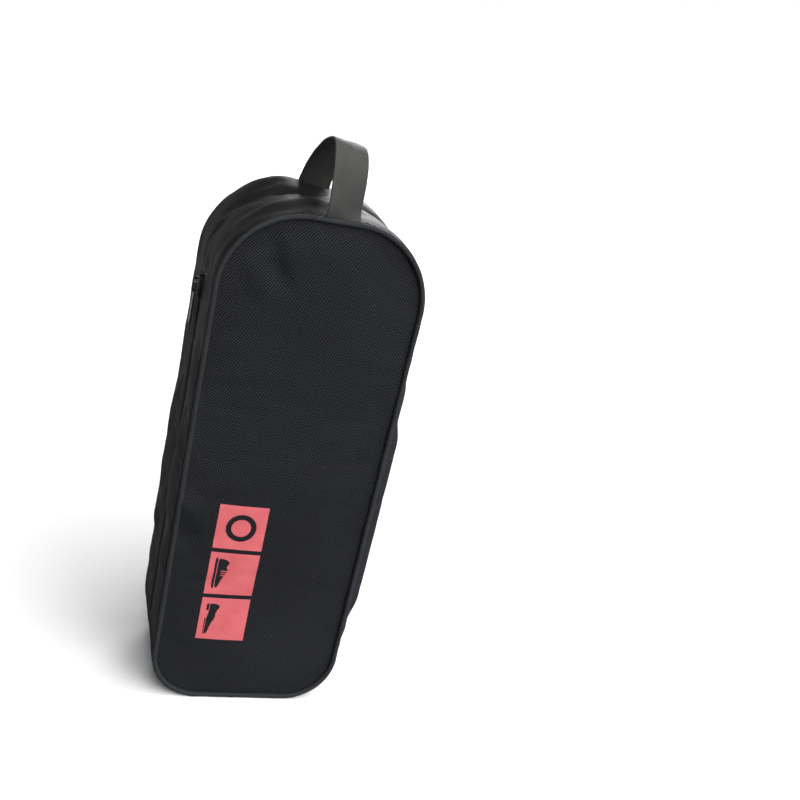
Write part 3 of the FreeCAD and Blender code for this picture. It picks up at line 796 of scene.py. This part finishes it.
mouth = split_off(band, "mouth_band", in_mouth)
upper = split_off(band, "upper_nylon_gusset",
                  lambda f: middle(f).z > (SEAM_HIGH if middle(f).x > 0 else MOUTH_HIGH))
lower = band
lower.name = lower.data.name = "lower_oxford_gusset"


def at_gusset_edge(point):
    """The gusset is held along both face seams and where its two cloths meet."""
    end = SEAM_HIGH if point.x > 0 else MOUTH_HIGH
    low_end = SEAM_HIGH if point.x > 0 else MOUTH_LOW
    return (abs(point.y) > SEAM_LINE - 0.002 or abs(point.z - end) < 0.002
            or abs(point.z - low_end) < 0.002)


UPPER_FOLDS = (
    ((-0.062, -0.030, 0.352), (0.010, -0.022, 0.376), (0, 0, 0.0030), 0.014, 9),
    ((-0.060, 0.012, 0.350), (0.000, 0.004, 0.376), (0, 0, -0.0022), 0.012, 9),
    ((-0.058, 0.030, 0.356), (0.015, 0.030, 0.376), (0, 0, 0.0018), 0.012, 8),
    ((-0.030, 0.030, 0.372), (-0.030, 0.030, 0.372), (-0.0010, 0, 0.0035), 0.040, 1),
    ((0.020, 0.010, 0.375), (0.062, -0.010, 0.352), (0, 0, -0.0024), 0.014, 8),
)
fold(upper, UPPER_FOLDS)
settle(upper, at_gusset_edge, slack=0.016, pressure=1.2, most=0.0042, stiff=8.0)

# The coarse side bulges, most near the face and at mid height: how far across, from where
# to where up, how far out, and how much cloth goes with it.
LOWER_BULGES = (
    (-0.0275, 0.030, 0.286, 0.0034, 0.0225),
    (-0.0275, 0.052, 0.255, 0.0036, 0.0225),
    (-0.0275, 0.080, 0.215, 0.0036, 0.0225),
    (0.018, 0.060, 0.250, 0.0016, 0.028),
)
for bulge in LOWER_BULGES:
    swell(lower, 1, *bulge)
settle(lower, at_gusset_edge, slack=0.006, pressure=0.8, most=0.0026, stiff=18.0)
FLAT_BOTTOM = 0.0002
open_up(lower)
pick(lower, "verts", lambda v: v.co.z < FLAT_BOTTOM)
bpy.ops.transform.resize(value=(1, 1, 0), center_override=(0, 0, FLAT_BOTTOM))
deselect()

UPPER_CUT = 0.209  # how long each cloth of the gusset was cut
LOWER_CUT = 0.476
for gusset, material, slot, depth, thickness, node, long in (
    (upper, nylon, "nylon_cloth", 0.0016, NYLON_THICK, "upper_gusset", UPPER_CUT),
    (lower, oxford, "oxford_cloth", 0.0010, LOWER_OXFORD_THICK, "lower_gusset", LOWER_CUT),
):
    loose = free_cloth(gusset, at_gusset_edge)
    refine(gusset)
    rumple(gusset, gusset.name + "_unevenness", 0.03, depth, loose)
    thicken(gusset, thickness)
    smooth(gusset)
    clothe(gusset, material)
    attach(gusset, "bag")
    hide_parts(node)

# ------------------------------------------------- the pipings and bindings


def make_tube(name, inset, across, size, material, node):
    """A cord's covering, led round the face's outline."""
    tube = make_loop(name, inset, across, turns=22, cell=PIPING_CELL)
    deselect()
    take(tube)
    bpy.ops.object.convert(target="CURVE")
    tube = bpy.context.active_object
    tube.data.bevel_depth = size / 2
    tube.data.bevel_resolution = 4
    tube.data.use_fill_caps = False
    bpy.ops.object.convert(target="MESH")
    tube = bpy.context.active_object
    tube.name = tube.data.name = name

    def lay(point, face):
        side = 1 if face.center.x >= 0 else -1
        along, out = way_round(point, side)
        return along, math.atan2(point.y - across, out - way_round_reach(point) + inset) * size / 2

    lay_pattern(tube, lay)
    outwards(tube)
    rumple(tube, name + "_unevenness", 0.010, 0.0007)
    smooth(tube, 60)
    clothe(tube, material)
    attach(tube, "bag")
    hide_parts(node)
    return tube


def way_round_reach(point):
    """How far out the bag's edge lies where a point is, as way_round measures it."""
    if point.z >= TALL - TOP_ROUND:
        return TOP_ROUND
    if point.z >= BOTTOM_ROUND:
        return TOP_WIDE / 2 - (TALL - TOP_ROUND - point.z) * math.tan(SIDE_LEAN)
    return BOTTOM_ROUND


# How far inside the outline the bindings lie, how far across they begin, and how wide they are.
BINDING_INSET = 0.0014
BINDING_LINE = 0.0380
BINDING_WIDE = 0.0090
for side, label in ((-1, "front"), (1, "rear")):
    make_tube(label + "_piping_cloth", PIPING_DIA / 2, side * PIPING_LINE, PIPING_DIA, piping_cloth,
              label + "_piping_cover")
    binding = make_loop(label + "_binding_tape", BINDING_INSET, side * BINDING_LINE)
    pick(binding, "edges", lambda e: True)
    bpy.ops.mesh.extrude_region_move(TRANSFORM_OT_translate={"value": (0, side * BINDING_WIDE, 0)})
    pick(binding, "edges", lambda e: abs(e.verts[0].co.y - e.verts[1].co.y) > BINDING_WIDE / 2)
    bpy.ops.mesh.subdivide(number_cuts=3)
    outwards(binding)
    lay_pattern(binding, lay_round)
    rumple(binding, binding.name + "_unevenness", 0.02, 0.0006)
    thicken(binding, BINDING_THICK)
    smooth(binding)
    clothe(binding, binding_cloth)
    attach(binding, "bag")
    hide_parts(label + "_seam_binding")

# ---------------------------------------------------------- the zipper's lips


def at_strip_edge(point):
    """A strip is held at the tape, at the face's seam and at the mouth's ends."""
    return (abs(point.y) < STRIP_EDGE + 0.001 or abs(point.y) > HINGE_LINE - 0.001
            or point.z < MOUTH_LOW + 0.002 or point.z > MOUTH_HIGH - 0.002)


def reach_of(half):
    """Where half of the mouth's length begins and ends."""
    return (MOUTH_MIDDLE, MOUTH_HIGH) if half == "upper" else (MOUTH_LOW, MOUTH_MIDDLE)


def bend_open(piece):
    """Fix a lip's place in its points; the lip is left as it lies, not bent open."""
    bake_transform(piece)


def finish_lip(piece, material, node):
    smooth(piece)
    clothe(piece, material)
    bend_open(piece)
    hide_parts(node)


def side_at(height):
    """How far to the side the bag's edge lies at a height, on its straight part."""
    return way_round_reach(Vector((0, 0, height)))


def make_strip(side, label):
    strip = split_off(mouth, label + "_strip", lambda f: STRIP_EDGE < side * middle(f).y < HINGE_LINE)
    swell(strip, -1, side * 0.030, 0.070, 0.262, 0.0018, 0.018)
    swell(strip, -1, side * 0.030, 0.105, 0.210, 0.0018, 0.018)
    fold(strip, (
        ((-0.0715, side * 0.022, 0.262), (-0.071, side * 0.036, 0.196), (0.0016, 0, 0), 0.009, 8),
        ((-0.0705, side * 0.036, 0.150), (-0.070, side * 0.020, 0.096), (0.0014, 0, 0), 0.010, 8),
    ))
    settle(strip, at_strip_edge, slack=0.006, pressure=0.7, most=0.0022, stiff=20.0)
    loose = free_cloth(strip, at_strip_edge)
    refine(strip)
    rumple(strip, label + "_strip_unevenness", 0.045, 0.0022, loose)
    upper_half = split_off(strip, label + "_strip_upper", lambda f: middle(f).z > MOUTH_MIDDLE)
    strip.name = strip.data.name = label + "_strip_lower"
    for half, piece in (("upper", upper_half), ("lower", strip)):
        thicken(piece, NYLON_THICK)
        finish_lip(piece, nylon, label + "_zip_strip")
    return {"upper": upper_half, "lower": strip}


def lean_back(piece):
    """Lean an open upright piece as the bag's side leans, and bring it to that side."""
    foot = (0, 0, MOUTH_LOW)
    bpy.ops.mesh.select_all(action="SELECT")
    bpy.ops.transform.rotate(value=SIDE_LEAN, orient_axis="Y", center_override=foot)
    bpy.ops.transform.translate(value=(-side_at(MOUTH_LOW), 0, 0))


TAPE_WIDE = 0.0125
TAPE_MIDDLE = 0.0070
TAPE_UNDER = 0.0014  # how far inside the strips' surface the tapes lie


def make_tape(side, label, half):
    """Half the length of one zipper tape, as a flat strip."""
    low, high = reach_of(half)
    tape = start(f"{label}_tape_{half}", bpy.ops.mesh.primitive_grid_add, size=1.0,
                 x_subdivisions=45, y_subdivisions=6, rotation=(0, -math.pi / 2, 0))
    bpy.ops.transform.resize(value=(1, TAPE_WIDE, high - low))
    bpy.ops.transform.translate(value=(TAPE_UNDER, side * TAPE_MIDDLE, (low + high) / 2))
    lean_back(tape)
    outwards(tape)
    open_up(tape)
    pick(tape, "faces", lambda f: f.normal.x > 0)
    bpy.ops.mesh.flip_normals()
    deselect()
    lay_pattern(tape, lambda point, face: (point.z, point.y - side * TAPE_MIDDLE))
    thicken(tape, TAPE_THICK)
    finish_lip(tape, zip_tape_cloth, label + "_zip_tape")


COIL_PITCH = 0.0014
COIL_REACH = 0.0020
COIL_THREAD = 0.00033
COIL_FLATNESS = 0.42


def make_coil(side, label, half):
    """Half the length of one coil: a nylon thread wound in flat loops that mesh with its neighbour's."""
    low, high = reach_of(half)
    turns = int((high - low) / COIL_PITCH)
    phase = 0.25 if side < 0 else 0.75
    coil = start(f"{label}_coil_{half}", bpy.ops.mesh.primitive_torus_add, major_radius=COIL_REACH,
                 minor_radius=COIL_THREAD, major_segments=12, minor_segments=5)
    bpy.ops.transform.resize(value=(COIL_FLATNESS, 1.0, 1.0))
    bpy.ops.transform.translate(value=(-0.0001, side * COIL_REACH, low + COIL_PITCH * phase))
    bpy.ops.object.mode_set(mode="OBJECT")
    modify(coil, "ARRAY", count=turns, use_relative_offset=False, use_constant_offset=True,
           constant_offset_displace=(0, 0, COIL_PITCH))
    open_up(coil)
    lean_back(coil)
    deselect()
    finish_lip(coil, coil_nylon, label + "_zip_coil")


def surface_of(piece):
    """A piece's surface, to lay stitches on."""
    return BVHTree.FromObject(piece, bpy.context.evaluated_depsgraph_get())


STITCH_LONG = 0.0021
STITCH_WIDE = 0.00045


def sew(name, piece, line, facing, pitch=0.0030):
    """A row of stitches along a line, each laid on a piece's surface, seen from the side it faces."""
    surface = surface_of(piece)
    facing = Vector(facing)
    stitch = start(name, bpy.ops.mesh.primitive_uv_sphere_add, segments=6, ring_count=6, radius=0.5)
    bpy.ops.transform.resize(value=(STITCH_WIDE, STITCH_WIDE * 0.8, STITCH_LONG))
    deselect()
    lengths = [0.0]
    for first, last in zip(line, line[1:]):
        lengths.append(lengths[-1] + (Vector(last) - Vector(first)).length)
    count = int(lengths[-1] / pitch)
    laid = []
    step = 0
    for number in range(count):
        along = (number + 0.5) * lengths[-1] / count
        while lengths[step + 1] < along:
            step += 1
        first, last = Vector(line[step]), Vector(line[step + 1])
        at = first.lerp(last, (along - lengths[step]) / (lengths[step + 1] - lengths[step]))
        hit, normal, _, _ = surface.ray_cast(at + facing * 0.02, -facing)
        if hit is None:
            continue
        way = (last - first).normalized()
        way = (way - normal * way.dot(normal)).normalized()
        copy = stitch.copy()
        copy.data = stitch.data.copy()
        scene.collection.objects.link(copy)
        turn = Matrix((way.cross(normal), -normal, way)).transposed()
        copy.matrix_world = Matrix.Translation(hit + normal * STITCH_WIDE * 0.2) @ turn.to_4x4()
        laid.append(copy)
    deselect()
    for copy in laid[1:]:
        copy.select_set(True)
    stitch.select_set(True)
    bpy.context.view_layer.objects.active = laid[0]
    stitch.select_set(False)
    laid[0].select_set(True)
    bpy.ops.object.join()
    row = bpy.context.active_object
    bpy.data.objects.remove(stitch)
    row.name = row.data.name = name
    bpy.ops.object.transform_apply(location=True, rotation=True, scale=True)
    return row


for side, label in ((-1, "front"), (1, "rear")):
    strips = make_strip(side, label)
    for half in ("upper", "lower"):
        make_tape(side, label, half)
        make_coil(side, label, half)
        low, high = reach_of(half)
        for row, across in (("edge", 0.0080), ("inner", 0.0112)):
            line = [(-side_at(low), side * across, low + 0.001),
                    (-side_at(high), side * across, high - 0.001)]
            seam = sew(f"{label}_zipper_stitches_{row}_{half}", strips[half], line, (-1, 0, 0))
            clothe(seam, thread)
            bend_open(seam)
deselect()
bpy.data.objects.remove(mouth)

for name in ("slider_body", "slider_bridge", "pull_tab"):
    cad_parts[name].data.materials[0] = enamel
for name in ("front_piping_cord", "rear_piping_cord"):
    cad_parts[name].data.materials[0] = cord_core

# ------------------------------------------------------------ the handle

# Where the webbing goes, from its front foot over the fold to its rear foot: out to the side,
# towards the back, up, and how its width is tipped and turned there, in degrees.
HANDLE_WAY = (
    (0.0034, -0.0468, 0.3735, 0, 22),
    (0.0034, -0.0478, 0.3800, 0, 21),
    (0.0032, -0.0481, 0.3900, 1, 18),
    (0.0028, -0.0474, 0.4000, 3, 15),
    (0.0024, -0.0456, 0.4085, 6, 13),
    (0.0022, -0.0415, 0.4168, 9, 13),
    (0.0022, -0.0345, 0.4208, 11, 15),
    (0.0020, -0.0255, 0.4212, 10, 18),
    (0.0014, -0.0150, 0.4188, 8, 21),
    (0.0008, -0.0040, 0.4145, 6, 23),
    (0.0004, 0.0080, 0.4085, 4, 23),
    (0.0004, 0.0200, 0.4010, 2, 21),
    (0.0008, 0.0320, 0.3918, 1, 17),
    (0.0012, 0.0415, 0.3820, 0, 11),
    (0.0012, 0.0464, 0.3735, 0, 6),
)


HANDLE_START = 0.0001  # how long the first piece is that the webbing is drawn out from


def turn_end(at, axis, degrees):
    """Turn the selected end of what is being drawn out, right-handed about an axis."""
    if degrees:
        bpy.ops.transform.rotate(value=-math.radians(degrees), orient_axis=axis, center_override=at)


def make_handle():
    """A length of webbing, drawn out from its front foot, tipped and turned on its way."""
    strap = start("webbing_handle", bpy.ops.mesh.primitive_plane_add, size=1.0)
    bpy.ops.transform.resize(value=(WEBBING_WIDE, HANDLE_START, 1))
    first = Vector(HANDLE_WAY[0][:3])
    bpy.ops.transform.translate(value=first)
    far = max(v.co.y for v in bmesh.from_edit_mesh(strap.data).verts)
    pick(strap, "verts", lambda v: v.co.y > far - HANDLE_START / 2)
    bpy.ops.mesh.delete(type="VERT")
    pick(strap, "edges", lambda e: True)
    tip_before, turn_before = 0, 0
    at = first
    for *place, tip, turn in HANDLE_WAY[1:]:
        bpy.ops.mesh.extrude_region_move(TRANSFORM_OT_translate={"value": Vector(place) - at})
        at = Vector(place)
        turn_end(at, "Y", tip - tip_before)
        turn_end(at, "Z", turn - turn_before)
        tip_before, turn_before = tip, turn
    pick(strap, "edges", lambda e: e.calc_length() > 0.9 * WEBBING_WIDE)
    bpy.ops.mesh.subdivide(number_cuts=5)
    deselect()

    lengths = [0.0]
    for before, after in zip(HANDLE_WAY, HANDLE_WAY[1:]):
        lengths.append(lengths[-1] + (Vector(after[:3]) - Vector(before[:3])).length)

    def lay(point, face):
        best = min(range(len(HANDLE_WAY)), key=lambda i: (Vector(HANDLE_WAY[i][:3]) - point).length
                   - abs(point.x - HANDLE_WAY[i][0]) * 0.9)
        here = Vector(HANDLE_WAY[best][:3])
        after = Vector(HANDLE_WAY[min(best + 1, len(HANDLE_WAY) - 1)][:3])
        before = Vector(HANDLE_WAY[max(best - 1, 0)][:3])
        way = (after - before).normalized()
        return lengths[best] + (point - here).dot(way), point.x - here.x

    refine(strap, 2)
    lay_pattern(strap, lay)
    rumple(strap, "handle_unevenness", 0.012, 0.0009)
    thicken(strap, WEBBING_THICK, 0.0)
    modify(strap, "BEVEL", width=0.0004, segments=2, limit_method="ANGLE", angle_limit=math.radians(50))
    outwards(strap)
    smooth(strap, 50)
    clothe(strap, webbing_cloth)
    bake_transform(strap)
    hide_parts("handle_webbing")


make_handle()

# ------------------------------------------------------------- the prints

PRINT_ACROSS = -0.0236
PRINT_SIDE = 0.035
PRINT_MIDDLES = (0.1464, 0.1081, 0.0698)
PRINT_AHEAD = -0.06  # the prints are drawn in front of the face, and then pressed on it
PRINT_THICK = 0.00010
SQUARE_LIFT = 0.00012
SHAPE_LIFT = 0.00026
LACE_LIFT = 0.00040
RING_REACH = 0.0108
RING_WIDE = 0.0038


def press(piece, lift):
    """Lay a flat shape on the cloth face, a little above it, and give it its thickness."""
    modify(piece, "SHRINKWRAP", target=face, wrap_method="PROJECT", use_project_y=True,
           use_positive_direction=True, use_negative_direction=True, offset=lift)
    take(piece)
    thicken(piece, PRINT_THICK, 0.0)
    outwards(piece)
    smooth(piece, 30)


def draw_shape(name, stations, origin):
    """A flat shape drawn out downwards: how far down, and how far its two edges lie to the side."""
    shape = start(name, bpy.ops.mesh.primitive_plane_add, size=1.0, rotation=(math.pi / 2, 0, 0))
    down, left, right = stations[0]
    bpy.ops.transform.resize(value=(right - left, 1, 0.001))
    place = (origin[0] + (left + right) / 2, PRINT_AHEAD, origin[1] - down + 0.0005)
    bpy.ops.transform.translate(value=place)
    low = origin[1] - down
    pick(shape, "verts", lambda v: v.co.z > low + 0.0005)
    bpy.ops.mesh.delete(type="VERT")
    pick(shape, "edges", lambda e: True)
    before = stations[0]
    for station in stations[1:]:
        shift = ((station[1] + station[2] - before[1] - before[2]) / 2, 0, before[0] - station[0])
        bpy.ops.mesh.extrude_region_move(TRANSFORM_OT_translate={"value": shift})
        wide, wide_before = station[2] - station[1], before[2] - before[1]
        centre = (origin[0] + (station[1] + station[2]) / 2, PRINT_AHEAD, origin[1] - station[0])
        bpy.ops.transform.resize(value=(wide / wide_before, 1, 1), center_override=centre)
        before = station
    bpy.ops.mesh.select_all(action="SELECT")
    bpy.ops.mesh.subdivide(number_cuts=2)
    deselect()
    return shape


MM = 0.001

# Two shoes, each drawn heel up in millimetres: a part's name, the square that it is on, and its
# stations as draw_shape takes them.
SHOE_PARTS = (
    ("sneaker_upper", 1, ((0.6, 3.0, 5.4), (1.4, 2.6, 8.2), (3.4, 2.4, 10.4), (5.2, 2.4, 9.6),
                          (7.4, 2.4, 8.6), (9.6, 2.4, 10.0), (12.4, 2.4, 8.8), (15.6, 2.4, 7.4),
                          (18.6, 2.4, 6.3), (21.4, 2.5, 5.6), (23.6, 2.7, 4.9), (24.8, 3.0, 4.0))),
    ("sneaker_sole", 1, ((0.0, 0.8, 1.4), (0.8, 0.2, 1.9), (6.0, 0.1, 1.8), (12.0, 0.3, 1.8),
                         (19.0, 0.1, 1.8), (24.4, 0.4, 1.9), (25.6, 1.0, 1.8))),
    ("dress_shoe_upper", 2, ((0.4, 2.9, 6.6), (1.6, 2.4, 9.2), (3.4, 2.4, 9.4), (5.6, 2.3, 8.0),
                             (8.0, 2.0, 7.2), (10.6, 1.6, 7.4), (13.0, 1.3, 6.9), (16.0, 1.2, 5.4),
                             (19.4, 1.2, 4.4), (22.6, 1.2, 3.8), (24.8, 1.3, 3.1), (25.8, 1.6, 2.4))),
    ("dress_shoe_heel", 2, ((0.5, 0.2, 2.0), (3.0, 0.1, 1.9), (5.8, 0.2, 1.8))),
    ("dress_shoe_sole", 2, ((12.6, 0.2, 0.9), (18.0, 0.1, 0.7), (24.0, 0.2, 0.8), (26.2, 0.7, 1.2))),
)
LACE_PARTS = tuple(
    ("sneaker_lace", 1, ((10.2 + 1.9 * n, 5.2, 9.6 - 0.8 * n), (10.9 + 1.9 * n, 5.0, 9.4 - 0.8 * n)))
    for n in range(3)
)


def press_prints():
    for number, up in enumerate(PRINT_MIDDLES):
        square = start(f"print_square_{number + 1}", bpy.ops.mesh.primitive_grid_add, x_subdivisions=16,
                       y_subdivisions=16, size=PRINT_SIDE, rotation=(math.pi / 2, 0, 0),
                       location=(PRINT_ACROSS, PRINT_AHEAD, up))
        deselect()
        lay_pattern(square, lay_flat)
        press(square, SQUARE_LIFT)
        clothe(square, film)
        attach(square, "bag")
        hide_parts("print_squares")
    ring = start("print_ring", bpy.ops.mesh.primitive_circle_add, vertices=64, radius=RING_REACH,
                 fill_type="NGON", rotation=(math.pi / 2, 0, 0),
                 location=(PRINT_ACROSS, PRINT_AHEAD, PRINT_MIDDLES[0]))
    bpy.ops.mesh.inset(thickness=RING_WIDE)
    bpy.ops.mesh.delete(type="FACE")
    bpy.ops.mesh.select_all(action="SELECT")
    bpy.ops.mesh.subdivide(number_cuts=1)
    deselect()
    inked = [(ring, oxford, SHAPE_LIFT)]
    for parts, paint, lift in ((SHOE_PARTS, oxford, SHAPE_LIFT), (LACE_PARTS, film, LACE_LIFT)):
        for count, (name, square, stations) in enumerate(parts):
            origin = (PRINT_ACROSS - 0.0135, PRINT_MIDDLES[square] + 0.0130)
            scaled = tuple(tuple(value * MM for value in station) for station in stations)
            label = name if parts is SHOE_PARTS else f"{name}_{count + 1}"
            inked.append((draw_shape("print_" + label, scaled, origin), paint, lift))
    for shape, paint, lift in inked:
        lay_pattern(shape, lay_flat)
        press(shape, lift)
        clothe(shape, paint)
        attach(shape, "bag")


press_prints()

# ----------------------------------------------------------- the stitching


def round_line(inset, across):
    """Points round the face's outline, a given way inside the bag's edge."""
    found = []
    for side in (1, -1):
        corners = (
            (BOTTOM_WIDE / 2 - BOTTOM_ROUND, BOTTOM_ROUND, BOTTOM_ROUND, -math.pi / 2, -SIDE_LEAN),
            (TOP_WIDE / 2 - TOP_ROUND, TALL - TOP_ROUND, TOP_ROUND, -SIDE_LEAN, math.pi / 2),
        )
        part = []
        for wide, up, reach, low, high in corners:
            for step in range(19):
                angle = low + (high - low) * step / 18
                part.append((side * (wide + (reach - inset) * math.cos(angle)), across,
                             up + (reach - inset) * math.sin(angle)))
        found += part if side > 0 else part[::-1]
    return found + found[:1]


def finish_seam(name, piece, line, facing, pitch=0.0030):
    seam = sew(name, piece, line, facing, pitch)
    clothe(seam, thread)
    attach(seam, "bag")


SEAM_REACH = 0.044
finish_seam("window_edge_stitches", window, round_line(0.0062, 0.052), (0, 1, 0), pitch=0.0034)
for name, cloth, side, height in (
    ("side_seam_stitches", upper, 1, SEAM_HIGH + 0.0025),
    ("mouth_top_stitches", upper, -1, MOUTH_HIGH + 0.003),
    ("mouth_bottom_stitches", lower, -1, MOUTH_LOW - 0.003),
):
    ends = [(side * TOP_WIDE / 2, -SEAM_REACH, height), (side * TOP_WIDE / 2, SEAM_REACH, height)]
    finish_seam(name, cloth, ends, (side, 0, 0))

# --------------------------------------------------------------- the stage

FLOOR_SIDE = 60.0
SURROUNDING_LIGHT = 0.16
DAYLIGHT = 3.9
floor = start("studio_floor", bpy.ops.mesh.primitive_plane_add, size=FLOOR_SIDE)
deselect()
floor_paint, tree, shader = new_material("pale_floor")
shader.inputs["Roughness"].default_value = 0.9
shader.inputs["Specular IOR Level"].default_value = 0.1
soft = noise_node(tree, tree.nodes.new("ShaderNodeTexCoord").outputs["Object"], 2.0)
pale = mix_colours(tree, soft, (0.95, 0.95, 0.95), (0.97, 0.97, 0.97))
seen_floor = tree.nodes.new("ShaderNodeLightPath").outputs["Is Camera Ray"]
tree.links.new(mix_colours(tree, seen_floor, (0.22, 0.22, 0.225), pale), shader.inputs["Base Color"])
floor.data.materials.append(floor_paint)

world = bpy.data.worlds.new("studio")
scene.world = world
world.use_nodes = True
tree = world.node_tree
lit, seen = tree.nodes["Background"], tree.nodes.new("ShaderNodeBackground")
lit.inputs["Color"].default_value = (0.92, 0.96, 1.0, 1.0)
lit.inputs["Strength"].default_value = SURROUNDING_LIGHT
seen.inputs["Color"].default_value = (1.0, 1.0, 1.0, 1.0)
either = tree.nodes.new("ShaderNodeMixShader")
tree.links.new(tree.nodes.new("ShaderNodeLightPath").outputs["Is Camera Ray"], either.inputs[0])
tree.links.new(lit.outputs[0], either.inputs[1])
tree.links.new(seen.outputs[0], either.inputs[2])
tree.links.new(either.outputs[0], tree.nodes["World Output"].inputs["Surface"])
scene.view_settings.view_transform = "Standard"


def add_light(name, place, target, size, power, colour=(1.0, 1.0, 1.0)):
    light = bpy.data.lights.new(name, "AREA")
    light.shape = "RECTANGLE"
    light.size, light.size_y = size
    light.energy = power
    light.color = colour
    lamp = bpy.data.objects.new(name, light)
    scene.collection.objects.link(lamp)
    lamp.location = place
    lamp.rotation_mode = "QUATERNION"
    lamp.rotation_quaternion = (Vector(target) - Vector(place)).to_track_quat("-Z", "Y")
    return lamp


daylight = bpy.data.lights.new("broad_daylight", "SUN")
daylight.energy = DAYLIGHT
daylight.angle = math.radians(70)
daylight.color = (1.0, 0.995, 0.985)
sun = bpy.data.objects.new("broad_daylight", daylight)
scene.collection.objects.link(sun)
sun.rotation_mode = "QUATERNION"
sun.rotation_quaternion = Vector((-0.34, 0.60, -0.88)).to_track_quat("-Z", "Y")
add_light("softbox_front", (0.9, -1.9, 1.0), (0, 0, 0.2), (1.0, 1.0), 14.0, (1.0, 0.99, 0.98))
add_light("softbox_back", (0.8, 2.2, 1.0), (0, 0, 0.2), (1.0, 1.0), 27.0)

camera = bpy.data.objects.new("camera", bpy.data.cameras.new("camera"))
scene.collection.objects.link(camera)
camera.data.sensor_width = 36.0
camera.data.lens = 50.26
camera.data.clip_start = 0.05
camera.data.clip_end = 50.0
camera.location = (-0.1790, -0.7398, 0.5259)
aim = Vector((0.0864, -0.0045, 0.2382))
camera.rotation_mode = "QUATERNION"
camera.rotation_quaternion = ((aim - camera.location).to_track_quat("-Z", "Y")
                              @ Quaternion((0, 0, 1), math.radians(13.70)))
scene.camera = camera
